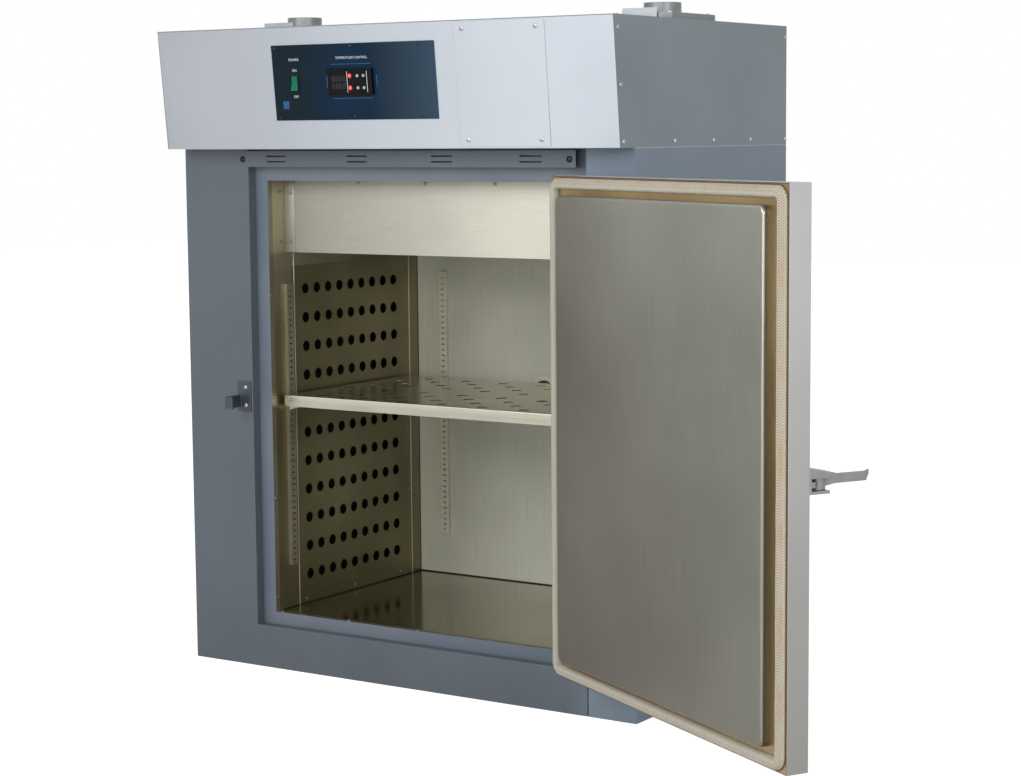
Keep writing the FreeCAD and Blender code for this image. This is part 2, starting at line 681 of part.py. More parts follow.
def make_shelf_clips():
    """Wedge-shaped clips that hook on the strips under the shelf's folded edge."""
    clips = []
    seat = D.shelf_top - D.shelf_lip - D.seat_gap
    half = D.clip_width / 2
    for name, x, y, turn in strip_stations():
        reach = D.clip_rear_reach if name.startswith("rear") else D.clip_reach
        body = new_body("clip_" + name)
        start = -D.strip_depth
        extrusion(body, "Pad", "clip_wedge_" + name, "yz", (-half, half), [[
            (start, 0), (start - reach, 0), (start - reach, -D.strip_gauge * 2), (start, -D.clip_height)]])
        clips.append(place(body, x, y, seat, turn))
    keep(group("shelf_clips", clips), "shelf_clips")


def make_shelf():
    """Folded tray, open below, with staggered rows of round holes."""
    body = new_body("shelf")
    wall = D.shelf_gauge
    margin = D.strip_depth + D.shelf_gap
    left, right = OPEN_LEFT + margin, OPEN_RIGHT - margin
    front, rear = FRONT + D.shelf_front, FRONT + D.shelf_front + D.shelf_depth
    low = D.shelf_top - D.shelf_lip
    extrusion(body, "Pad", "shelf_block", "xy", (low, D.shelf_top), [rectangle((left, right), (front, rear))])
    extrusion(body, "Pocket", "shelf_hollow", "xy", (low, D.shelf_top - wall), [
        rectangle((left + wall, right - wall), (front + wall, rear - wall))])
    pitch = D.shelf_pitch_across
    centre = CENTRE + D.shelf_pattern_shift
    columns = copies_in(right - left - pitch, pitch)
    first = centre - pitch / 4 - pitch * (columns - 1) / 2
    holes = []
    for block_index in range(2):
        for row in range(4):
            staggered = (row + block_index) % 2 == 0
            across = first + pitch / 2 if staggered else first
            deep = front + D.shelf_row_first + D.shelf_block_pitch * block_index + D.shelf_row_pitch * row
            holes.append(circle_corners(across, deep, D.shelf_hole / 2, D.shelf_hole_sides))
    seed = extrusion(body, "Pocket", "shelf_column", "xy", (D.shelf_top - 2 * wall, D.shelf_top + 1), holes)
    patterned(body, "shelf_holes", seed, "H_Axis", pitch, columns)
    keep(body, "shelf")


def make_port():
    """Stepped sleeve through the back wall, with a plug pushed into its wider rear end."""
    x, z = D.port_across, D.port_height
    outer = sleeve_radius()
    front, seat = REAR_WALL - D.panel_gauge, BACK - D.plug_stem - D.seat_gap
    rim = rod("sleeve_rim", outer + D.port_rim, (x, front, z), D.panel_gauge, "y")
    tube = rod("sleeve_tube", outer, (x, front, z), BACK - front, "y")
    bore = rod("sleeve_bore", D.port_radius, (x, front - 1, z), BACK - front + 2, "y")
    socket = rod("sleeve_socket", D.port_radius + D.socket_step, (x, seat, z), BACK - seat + 1, "y")
    keep(cut("port_sleeve", fused("sleeve_body", [rim, tube]), [bore, socket]), "port_sleeve")
    stem = rod("plug_stem", D.port_radius + D.socket_step - D.plug_clearance,
               (x, BACK - D.plug_stem, z), D.plug_stem, "y")
    cap = rod("plug_cap", D.plug_cap, (x, BACK, z), D.plug_cap_gauge, "y")
    keep(fused("port_plug", [stem, cap]), "port_plug")


def make_door():
    """Hollow door with a raised plug and a gasket round it."""
    wall = D.door_gauge
    body = new_body("door_pan")
    outline = rectangle((DOOR_LEFT, DOOR_RIGHT), (DOOR_LOW, DOOR_HIGH))
    inner = rectangle((DOOR_LEFT + wall, DOOR_RIGHT - wall), (DOOR_LOW + wall, DOOR_HIGH - wall))
    extrusion(body, "Pad", "pan_block", "xz", (DOOR_OUTER, DOOR_INNER), [outline])
    extrusion(body, "Pocket", "pan_hollow", "xz", (DOOR_OUTER + wall, DOOR_INNER), [inner])
    keep(on_door(body), "door_pan")

    filling = block("door_wool", (DOOR_LEFT + wall, DOOR_RIGHT - wall), (DOOR_OUTER + wall, DOOR_INNER - wall),
                    (DOOR_LOW + wall, DOOR_HIGH - wall))
    keep(on_door(wrapped("door_insulation", filling)), "door_insulation")
    sheet_block = block("back_of_door", (DOOR_LEFT + wall, DOOR_RIGHT - wall), (DOOR_INNER - wall, DOOR_INNER),
                        (DOOR_LOW + wall, DOOR_HIGH - wall))
    keep(on_door(wrapped("door_inner_sheet", sheet_block)), "door_inner_sheet")

    plug = new_body("door_plug")
    across = (DOOR_LEFT + D.plug_margin, DOOR_RIGHT - D.plug_margin)
    upright = (DOOR_LOW + D.plug_margin_low, DOOR_HIGH - D.plug_margin_low)
    extrusion(plug, "Pad", "plug_block", "xz", (DOOR_INNER, DOOR_INNER + D.plug_rise),
              [rectangle(across, upright)])
    round_edges(plug, "plug_corners", FreeCAD.Vector(0, 1, 0), D.plug_corner)
    face = (DOOR_INNER + D.plug_rise).value
    round_edges(plug, "plug_edges", FreeCAD.Vector(0, 0, 1), D.plug_edge,
                lambda edge: abs(edge.Vertexes[0].Y - face) < 0.01)
    hollow = D.plug_corner
    extrusion(plug, "Pocket", "plug_hollow", "xz", (DOOR_INNER, DOOR_INNER + D.plug_rise - wall), [
        rectangle((across[0] + hollow, across[1] - hollow), (upright[0] + hollow, upright[1] - hollow))])
    keep(on_door(plug), "door_plug")
    make_gasket()


def make_gasket():
    body = new_body("door_gasket")
    edge, width = D.gasket_inset, D.gasket_width
    rings = [rectangle((DOOR_LEFT + inset, DOOR_RIGHT - inset), (DOOR_LOW + inset, DOOR_HIGH - inset))
             for inset in (edge, edge + width)]
    top = D.hinge_forward + D.recess_depth - D.seat_gap
    extrusion(body, "Pad", "gasket_ring", "xz", (DOOR_INNER, top), rings)
    outer = (DOOR_LEFT + edge).value, (DOOR_RIGHT - edge).value
    round_edges(body, "gasket_corners", FreeCAD.Vector(0, 1, 0), D.gasket_corner,
                lambda one: min(abs(one.Vertexes[0].X - side) for side in outer) < 0.01)
    round_edges(body, "gasket_inner_corners", FreeCAD.Vector(0, 1, 0), D.gasket_corner - width,
                lambda one: min(abs(one.Vertexes[0].X - side) for side in outer) > width.value - 1)
    round_edges(body, "gasket_edges", FreeCAD.Vector(0, 0, 1), D.gasket_edge,
                lambda one: abs(one.Vertexes[0].Y - top.value) < 0.01, "Chamfer")
    keep(on_door(body), "door_gasket")


def make_hinges():
    """Two lift-off hinges: the lower knuckle and pin on the cabinet, the upper knuckle on the door."""
    half = D.hinge_length / 2
    fixed, moving = [], []
    barrel, leaf, bore = D.barrel_radius, D.leaf_gauge, D.pin_radius + D.running_fit
    for index, low in enumerate((D.hinge_low, D.hinge_high)):
        tag = "_%d" % (index + 1)
        lower = (low, low + half)
        web = block("web" + tag, (HINGE_X + barrel - leaf, HINGE_X + barrel), (HINGE_Y, FRONT), lower)
        wing = block("wing" + tag, (HINGE_X + barrel - leaf, RECESS_RIGHT + D.flange_leaf),
                     (FRONT - leaf, FRONT), lower)
        knuckle = rod("knuckle" + tag, barrel, (HINGE_X, HINGE_Y, low), half)
        pin = rod("pin" + tag, D.pin_radius, (HINGE_X, HINGE_Y, low), D.hinge_length - leaf)
        fixed.append(fused("cabinet_leaf" + tag, [web, wing, knuckle, pin]))
        start = low + half + D.knuckle_gap
        strap = block("strap" + tag, (DOOR_RIGHT - D.leaf_reach, 0), (DOOR_OUTER - leaf, DOOR_OUTER),
                      (start, low + D.hinge_length))
        sleeve = rod("sleeve" + tag, barrel, (0, 0, start), low + D.hinge_length - start)
        hole = rod("hinge_bore" + tag, bore, (0, 0, start - 1), low + D.hinge_length + 2 - start)
        moving.append(cut("door_leaf" + tag, fused("leaf_body" + tag, [strap, sleeve]), [hole]))
    keep(group("hinge_cabinet_leaves", fixed), "hinge_cabinet_leaves")
    keep(on_door(group("hinge_door_leaves", moving)), "hinge_door_leaves")


def make_latch():
    """Housing, pull-out lever and sliding bolt at the free edge of the door."""
    pin_x, pin_y = DOOR_LEFT + D.latch_inset, DOOR_OUTER - D.latch_reach
    hub_low = D.latch_height - D.hub_height / 2
    hub_high = hub_low + D.hub_height
    ledge_low = hub_low - D.seat_gap - D.ledge_gauge
    wedge_low = hub_high + D.seat_gap
    across = (DOOR_LEFT, DOOR_LEFT + 2 * D.latch_inset)
    base = block("latch_plate", across, (DOOR_OUTER - D.latch_base, DOOR_OUTER),
                 (ledge_low, wedge_low + D.wedge_root))
    ledge = block("latch_ledge", across, (DOOR_OUTER - D.ledge_reach, DOOR_OUTER),
                  (ledge_low, ledge_low + D.ledge_gauge))
    wedge = new_body("latch_wedge")
    extrusion(wedge, "Pad", "wedge_block", "yz", across, [[
        (DOOR_OUTER, wedge_low), (DOOR_OUTER, wedge_low + D.wedge_root),
        (DOOR_OUTER - D.wedge_reach, wedge_low + D.wedge_tip), (DOOR_OUTER - D.wedge_reach, wedge_low)]])
    pin = rod("latch_pin", D.lever_pin, (pin_x, pin_y, ledge_low), wedge_low + D.wedge_tip - ledge_low)
    keep(on_door(fused("latch_housing", [base, ledge, wedge, pin])), "latch_housing")

    lever = new_body("lever_arm")
    start, step, reach = pin_y, pin_y - D.lever_step, pin_y - D.lever_length
    low, high = hub_low + 2, hub_low + 2 + D.lever_height
    rise, flare = D.lever_rise, D.lever_flare
    thick = (pin_x - D.lever_gauge / 2, pin_x + D.lever_gauge / 2)
    extrusion(lever, "Pad", "lever_blade", "yz", thick, [[
        (start, low), (start, high), (step, high), (step, high + rise), (reach, high + rise),
        (reach - flare, high + rise + flare / 2), (reach - flare, high), (reach, low + rise),
        (step, low + rise)]])
    hub = rod("lever_hub", D.hub_radius, (pin_x, pin_y, hub_low), D.hub_height)
    bore = rod("lever_bore", D.lever_pin + D.running_fit, (pin_x, pin_y, hub_low - 1), D.hub_height + 2)
    keep(on_door(cut("latch_lever", fused("lever_body", [lever, hub]), [bore])), "latch_lever")

    tip = DOOR_LEFT + D.bolt_rest
    rear = DOOR_OUTER - D.latch_base - D.seat_gap
    bolt = block("bolt_bar", (tip, tip + D.bolt_length), (rear - D.bolt_width, rear),
                 (D.latch_height - D.bolt_height / 2, D.latch_height + D.bolt_height / 2))
    keep(on_door(wrapped("latch_bolt", bolt)), "latch_bolt")


def make_strike():
    """Keeper on the cabinet that the latch bolt goes behind."""
    high = RECESS_LEFT - D.strike_inset
    centre = D.latch_height + D.strike_lift
    plate = block("strike_plate", (high - D.strike_width, high), (FRONT - D.strike_gauge, FRONT),
                  (centre - D.strike_height / 2, centre + D.strike_height / 2))
    upright = (D.latch_height - D.keeper_height / 2, D.latch_height + D.keeper_height / 2)
    side, gauge = high - D.keeper_across - D.keeper_gauge, D.keeper_gauge
    web = block("keeper_web", (side, side + gauge), (FRONT - D.keeper_forward, FRONT), upright)
    lip = block("keeper_lip", (side, side + D.keeper_lip),
                (FRONT - D.keeper_forward, FRONT - D.keeper_forward + gauge), upright)
    keep(fused("latch_strike", [plate, web, lip]), "latch_strike")


def bolt_head(name, x, y, z, sides=6):
    """A screw head on a face that looks forward at level y."""
    small = sides > 6
    radius = D.screw_head if small else D.bolt_head
    height = D.screw_head_height if small else D.bolt_head_height
    return rod(name, radius, (x, y - height, z), height, "y", sides)


def make_front_bolts():
    up = BAR_LOW + D.bolt_up
    screw_x = RECESS_LEFT - D.strike_inset - D.strike_screw_in
    plate = FRONT - D.strike_gauge
    middle = D.latch_height + D.strike_lift
    heads = [
        bolt_head("bolt_left", RECESS_LEFT - D.bolt_left, FRONT, up),
        bolt_head("bolt_right", RECESS_RIGHT - D.bolt_right, FRONT - D.panel_gauge, up),
        bolt_head("strike_screw_low", screw_x, plate, middle - D.strike_screw_pitch / 2, 8),
        bolt_head("strike_screw_high", screw_x, plate, middle + D.strike_screw_pitch / 2, 8),
    ]
    keep(group("front_bolts", heads), "front_bolts")


def fascia_box(name, across, up, width, height, depth):
    """A box on the fascia plane, given by its centre and its span of depth."""
    return block(name, (across - width / 2, across + width / 2), depth, (up - height / 2, up + height / 2))


def through_fascia(tag):
    """Cut-outs for the switch and the controller, wide enough for a seated fit."""
    ease = 2 * D.seat_gap
    depth = (-10, 10)
    inner = 2 * D.switch_rim
    switch = fascia_box("switch_cutout" + tag, D.switch_across, D.switch_up,
                        D.switch_width - inner + ease, D.switch_height - inner + ease, depth)
    case = fascia_box("case_cutout" + tag, D.control_across, D.control_up, D.case_width + ease,
                      D.case_height + ease, depth)
    return [switch, case]


def make_hood():
    """Leaning front, two ends, and a folded cover for the top and the back."""
    gauge, fold = D.panel_gauge, D.fold
    base, top = D.body_height, ROOF
    toe, brow = FRONT - D.hood_lip_low, FRONT - D.hood_lip_high
    rim = brow + (D.hood_lip_high - D.hood_lip_low) * gauge / D.hood_height
    inside = (LEFT + gauge, RIGHT - gauge)
    front = new_body("hood_front_sheet")
    extrusion(front, "Pad", "fascia", "yz", inside, [[
        (FRONT + fold, base), (toe, base), (rim, top - gauge), (brow + fold, top - gauge),
        (brow + fold, top - 2 * gauge), (rim + gauge, top - 2 * gauge), (toe + gauge, base + gauge),
        (FRONT + fold, base + gauge)]])
    margin = D.cover_hole_margin
    service = block("service_hole", (D.cover_across + margin, D.cover_across + D.cover_width - margin),
                    (-10, 10), (D.cover_up + margin, D.cover_up + D.cover_height - margin))
    cutouts = on_fascia(group("fascia_cutouts", through_fascia("_front") + [service]))
    keep(cut("hood_front", front, [cutouts]), "hood_front")

    outline = [(toe, base), (BACK, base), (BACK, top), (brow, top)]
    folded("hood_end_left", "yz", (LEFT, LEFT + gauge), outline)
    folded("hood_end_right", "yz", (RIGHT - gauge, RIGHT), outline)

    cover = new_body("hood_cover_sheet")
    extrusion(cover, "Pad", "cover_sheet", "yz", inside, [[
        (rim, top - gauge), (brow, top), (BACK, top), (BACK, base), (BACK - gauge, base),
        (BACK - gauge, top - gauge)]])
    bore = D.collar_radius - D.collar_gauge
    holes = [rod("roof_hole_%d" % index, bore, (x, FRONT + D.exhaust_back, top - 2 * gauge), 4 * gauge)
             for index, x in enumerate(exhaust_centres())]
    holes.append(rod("gland_hole", D.gland_radius / 2 + D.seat_gap,
                     (D.gland_across, BACK - 2 * gauge, base + D.gland_height), 4 * gauge, "y"))
    keep(cut("hood_cover", cover, holes), "hood_cover")


def make_hood_screws(cover_screws):
    """Screws round both hood ends, with those of the access cover."""
    heads = [cover_screws]
    low, high = D.body_height + D.end_screw_low, ROOF - D.end_screw_high
    rise = (D.hood_lip_high - D.hood_lip_low) / D.hood_height
    inset = D.end_screw_in
    spots = []
    for part_way in range(3):
        up = low + (high - low) * part_way / 2
        spots.append((FRONT - D.hood_lip_low - rise * (up - D.body_height) + 2 * inset, up))
    rear = BACK - inset
    for index in range(1, int(D.end_screw_count.value)):
        spots.append((FRONT - inset + (rear - FRONT + inset) * index / (D.end_screw_count - 1), low))
    spots.append((rear, high))
    for side, edge in (("left", LEFT - D.screw_head_height), ("right", RIGHT)):
        for index, (y, z) in enumerate(spots):
            heads.append(rod("end_screw_%s_%d" % (side, index), D.screw_head, (edge, y, z),
                             D.screw_head_height, "x", 6))
    keep(group("hood_screws", heads), "hood_screws")


def make_access_cover():
    gauge = D.panel_gauge
    left, right = D.cover_across, D.cover_across + D.cover_width
    low, high = D.cover_up, D.cover_up + D.cover_height
    plate = block("cover_plate", (left, right), (-gauge, 0), (low, high))
    keep(on_fascia(wrapped("access_cover", plate)), "access_cover")
    heads = [bolt_head("cover_screw_%d_%d" % (x.value, z.value), x, -gauge, z, 8)
             for x in (left + D.cover_screw_in, right - D.cover_screw_in)
             for z in (low + D.cover_screw_up, high - D.cover_screw_up)]
    return on_fascia(group("access_cover_screws", heads))


def make_control_panel():
    plate = block("overlay", (D.panel_across, D.panel_across + D.panel_width), (-D.overlay_gauge, 0),
                  (D.panel_up, D.panel_up + D.panel_height))
    keep(on_fascia(cut("control_panel", plate, through_fascia("_panel"))), "control_panel")
    make_switch()
    make_controller()


def make_switch():
    """Rocker switch: body with a rim, and a rocker on two small trunnions."""
    across, up = D.switch_across, D.switch_up
    face = -D.overlay_gauge
    pivot = D.rocker_back
    half, front, tilt = D.rocker_height / 2, D.rocker_front, D.rocker_angle
    rim = fascia_box("switch_rim", across, up, D.switch_width, D.switch_height, (face - D.switch_rim, face))
    inner = 2 * D.switch_rim
    case = fascia_box("switch_case", across, up, D.switch_width - inner, D.switch_height - inner,
                      (face, D.switch_depth))
    sweep = half * cosine(tilt) + front * sine(tilt) + D.seat_gap
    well = fascia_box("switch_well", across, up, D.rocker_width + 2 * D.seat_gap, 2 * sweep,
                      (face - D.switch_rim - 1, D.switch_depth - D.switch_wall))
    holes = rod("trunnion_holes", D.rocker_pin + D.running_fit,
                (across - D.switch_width / 2, pivot, up), D.switch_width, "x")
    body = cut("switch_shell", fused("switch_solid", [rim, case]), [well, holes])
    keep(on_fascia(group("switch_body", [body])), "switch_body")

    rocker = new_body("rocker")
    width = D.rocker_width
    profile = [(-front, half), (0.7 * -front, 0), (-front, -half), (D.rocker_back, -0.8 * half),
               (D.rocker_back, 0.8 * half)]
    extrusion(rocker, "Pad", "rocker_block", "yz", (-width / 2, width / 2), [profile])
    place(rocker, across, pivot, up, -tilt, (1, 0, 0))
    span = D.switch_width - inner - D.seat_gap
    trunnion = rod("trunnion", D.rocker_pin, (across - span / 2, pivot, up), span, "x")
    keep(on_fascia(fused("power_rocker", [rocker, trunnion])), "power_rocker")


def make_controller():
    """Temperature controller: bezel and case, display window and four sprung keys."""
    across, up = D.control_across, D.control_up
    face = -D.overlay_gauge
    front = face - D.bezel_depth
    left = across - D.bezel_width / 2
    bezel = fascia_box("bezel", across, up, D.bezel_width, D.bezel_height, (front, face))
    case = fascia_box("case", across, up, D.case_width, D.case_height, (face, D.case_depth))
    window_centre = left + D.display_in + D.display_width / 2
    window = fascia_box("window", window_centre, up, D.display_width, D.display_height,
                        (front, front + D.display_gauge))
    pocket = fascia_box("window_pocket", window_centre, up, D.display_width + 2 * D.seat_gap,
                        D.display_height + 2 * D.seat_gap, (front - 1, front + D.display_gauge))
    spots = [(left + D.key_first + D.key_pitch * column, up + D.key_rows * (0.5 - row))
             for row in range(2) for column in range(2)]
    depth = D.key_depth + D.key_travel + D.seat_gap
    bores = [rod("key_bore_%d" % index, D.key_radius + D.key_fit, (x, front - 1, z), depth + 1, "y")
             for index, (x, z) in enumerate(spots, start=1)]
    shell = cut("controller_shell", fused("controller_solid", [bezel, case]), [pocket] + bores)
    keep(on_fascia(group("controller_case", [shell])), "controller_case")
    keep(on_fascia(wrapped("controller_display", window)), "controller_display")
    for index, (x, z) in enumerate(spots, start=1):
        cap = rod("key_cap_%d" % index, D.key_radius, (x, front - D.key_proud, z),
                  D.key_proud + D.key_depth, "y")
        keep(on_fascia(wrapped("controller_key_%d" % index, cap)), "controller_key_%d" % index)


def exhaust_centres():
    return CENTRE - D.exhaust_offset, CENTRE + D.exhaust_offset


def make_exhaust():
    """Two outlet collars on slotted housings, each with a damper that slides forward."""
    middle = FRONT + D.exhaust_back
    half_length = D.damper_length / 2
    bore = D.collar_radius - D.collar_gauge
    deck = ROOF + D.damper_height
    fit = D.slide_fit
    for side, x in zip(("left", "right"), exhaust_centres()):
        base = block("damper_block_" + side, (x - D.damper_width / 2, x + D.damper_width / 2),
                     (middle - half_length, middle + half_length), (ROOF, deck))
        collar = rod("collar_" + side, D.collar_radius, (x, middle, ROOF), D.damper_height + D.collar_height)
        hole = rod("collar_bore_" + side, bore, (x, middle, ROOF - 1), D.damper_height + D.collar_height + 2)
        back = middle + D.collar_radius + D.slide_past
        low = ROOF + D.slide_up
        slot = block("slide_slot_" + side, (x - D.slide_width / 2 - fit, x + D.slide_width / 2 + fit),
                     (middle - half_length - 1, back + fit), (low - fit, low + D.slide_gauge + fit))
        keep(cut("damper_housing_" + side, fused("housing_" + side, [base, collar]), [hole, slot]),
             "damper_housing_" + side)
        lip = middle - half_length - D.slide_out
        tongue = block("tongue_" + side, (x - D.slide_width / 2, x + D.slide_width / 2), (lip, back),
                       (low, low + D.slide_gauge))
        upright = block("lip_" + side, (x - D.slide_width / 2, x + D.slide_width / 2),
                        (lip, lip + D.slide_gauge), (low, low + D.slide_lip))
        keep(fused("damper_slide_" + side, [tongue, upright]), "damper_slide_" + side)


def make_hood_contents():
    """Contactor tray behind the fascia, and the cable gland in the back."""
    gauge = D.panel_gauge
    base = D.body_height
    centre = D.control_across
    near = FRONT + D.chassis_back
    span = (centre - D.chassis_width / 2, centre + D.chassis_width / 2)
    tray = new_body("tray")
    extrusion(tray, "Pad", "tray_sheet", "yz", span, [[
        (near, base), (near + D.contactor_size, base), (near + D.contactor_size, base + gauge),
        (near + gauge, base + gauge), (near + gauge, base + D.chassis_height),
        (near, base + D.chassis_height)]])
    size = D.contactor_size
    rear = near + gauge
    contactors = [block("contactor_%d" % index, (start, start + size / 1.5), (rear, rear + size / 1.5),
                        (base + gauge, base + gauge + size))
                  for index, start in enumerate((span[0] + 10, span[1] - 10 - size / 1.5))]
    keep(fused("electrical_chassis", [tray] + contactors), "electrical_chassis")
    x, z = D.gland_across, base + D.gland_height
    neck = D.gland_radius / 2
    nut = rod("gland_nut", D.gland_radius, (x, BACK, z), D.gland_length / 2, "y", 6)
    stem = rod("gland_stem", neck, (x, BACK - D.gland_length / 2, z), D.gland_length, "y")
    lock = rod("gland_lock", D.gland_radius, (x, BACK - gauge - 4, z), 4, "y", 6)
    bore = rod("gland_bore", D.gland_bore, (x, BACK - D.gland_length, z), 2 * D.gland_length, "y")
    keep(cut("inlet_gland", fused("gland_solid", [nut, stem, lock]), [bore]), "inlet_gland")


def check_document():
    """Stops the build when an object failed to compute or a sub-part has no valid shape."""
    for item in document.Objects:
        if "Invalid" in item.State or "Error" in item.State:
            raise RuntimeError("%s did not compute: %s" % (item.Name, item.State))
    for item in parts:
        if item.Shape.isNull() or not item.Shape.isValid() or item.Shape.Volume <= 0:
            raise RuntimeError("%s has no valid shape" % item.Label)


make_front_frame()
make_side_panels()
make_outer_walls()
make_door_frame()
make_header_strip()
make_front_bolts()
make_strike()
make_insulation()
make_liner()
make_ducts()
make_plenum()
make_blower()
make_heater()
make_shelf_strips()
make_shelf_clips()
make_shelf()
make_port()
make_door()
make_hinges()
make_latch()
make_hood()
make_hood_screws(make_access_cover())
make_control_panel()
make_exhaust()
make_hood_contents()

document.recompute()
check_document()
os.makedirs("parts", exist_ok=True)
for item in parts:
    item.Shape.exportStep("parts/%s.step" % item.Label)
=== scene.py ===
"""Dresses the drying oven's frame with finishes, pierced sheets, a braided gasket and small fittings.

Lengths are metres in the frame's own axes: x runs to the viewer's right, y to the back and z up.
"""
import json
import logging
import math
import random
from collections.abc import Callable, Iterable, Mapping, Sequence
from dataclasses import dataclass
from enum import Enum
from itertools import product
from typing import ClassVar

import bmesh
import bpy
from bmesh.types import BMesh, BMVert
from bpy.types import Material, Mesh, NodeSocket
from mathutils import Matrix, Vector

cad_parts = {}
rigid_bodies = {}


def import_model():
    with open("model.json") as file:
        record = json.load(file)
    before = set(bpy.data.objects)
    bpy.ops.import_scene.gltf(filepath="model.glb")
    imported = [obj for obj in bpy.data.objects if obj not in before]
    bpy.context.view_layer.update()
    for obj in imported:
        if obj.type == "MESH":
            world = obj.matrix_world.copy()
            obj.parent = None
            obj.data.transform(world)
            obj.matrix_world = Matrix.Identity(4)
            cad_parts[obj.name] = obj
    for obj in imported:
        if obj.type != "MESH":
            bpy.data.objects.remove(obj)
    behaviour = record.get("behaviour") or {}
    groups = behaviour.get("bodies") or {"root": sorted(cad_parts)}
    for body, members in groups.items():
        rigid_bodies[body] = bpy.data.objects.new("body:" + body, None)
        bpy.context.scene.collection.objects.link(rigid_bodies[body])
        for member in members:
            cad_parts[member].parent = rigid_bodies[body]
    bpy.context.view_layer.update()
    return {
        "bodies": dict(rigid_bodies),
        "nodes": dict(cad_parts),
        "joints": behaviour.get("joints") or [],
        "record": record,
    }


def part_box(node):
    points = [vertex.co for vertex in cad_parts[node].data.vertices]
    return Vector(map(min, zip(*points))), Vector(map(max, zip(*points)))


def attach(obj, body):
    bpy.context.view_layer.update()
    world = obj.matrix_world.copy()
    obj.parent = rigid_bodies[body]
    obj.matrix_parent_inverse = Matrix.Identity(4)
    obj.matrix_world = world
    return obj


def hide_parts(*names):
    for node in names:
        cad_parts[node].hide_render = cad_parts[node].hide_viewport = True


LOG = logging.getLogger("drying_oven")

Colour = tuple[float, float, float, float]
Flat = tuple[float, float]
Spot = tuple[float, float, float]
Box = tuple[Vector, Vector]
Walk = list[tuple[Vector, Vector, float]]

DOOR_TURN = math.radians(150.0)
FASCIA_FOOT = (0, -0.371, 1.109)
FASCIA_LEAN = math.atan2(0.025, 0.246)
INK_DEPTH = 0.00012
PAINTED_DEPTH = 0.0003
WHITE = (1.0, 1.0, 1.0, 1.0)
TO_THE_RIGHT = (1, 0, 0)


def tone(*screen: float) -> Colour:
    """Turns a colour as a screen shows it into the linear one that shaders take.

    Args:
        screen: Red, green and blue from 0 to 255.

    Returns:
        The linear colour with an alpha of 1.
    """
    shares = [part / 255 for part in screen]
    return (*(share / 12.92 if share <= 0.04045 else ((share + 0.055) / 1.055) ** 2.4
              for share in shares), 1.0)


def lifted(colour: Colour, factor: float, lift: float = 0.0) -> Colour:
    """Gives a colour multiplied and lifted, up to white."""
    return (*(min(1.0, part * factor + lift) for part in colour[:3]), 1.0)


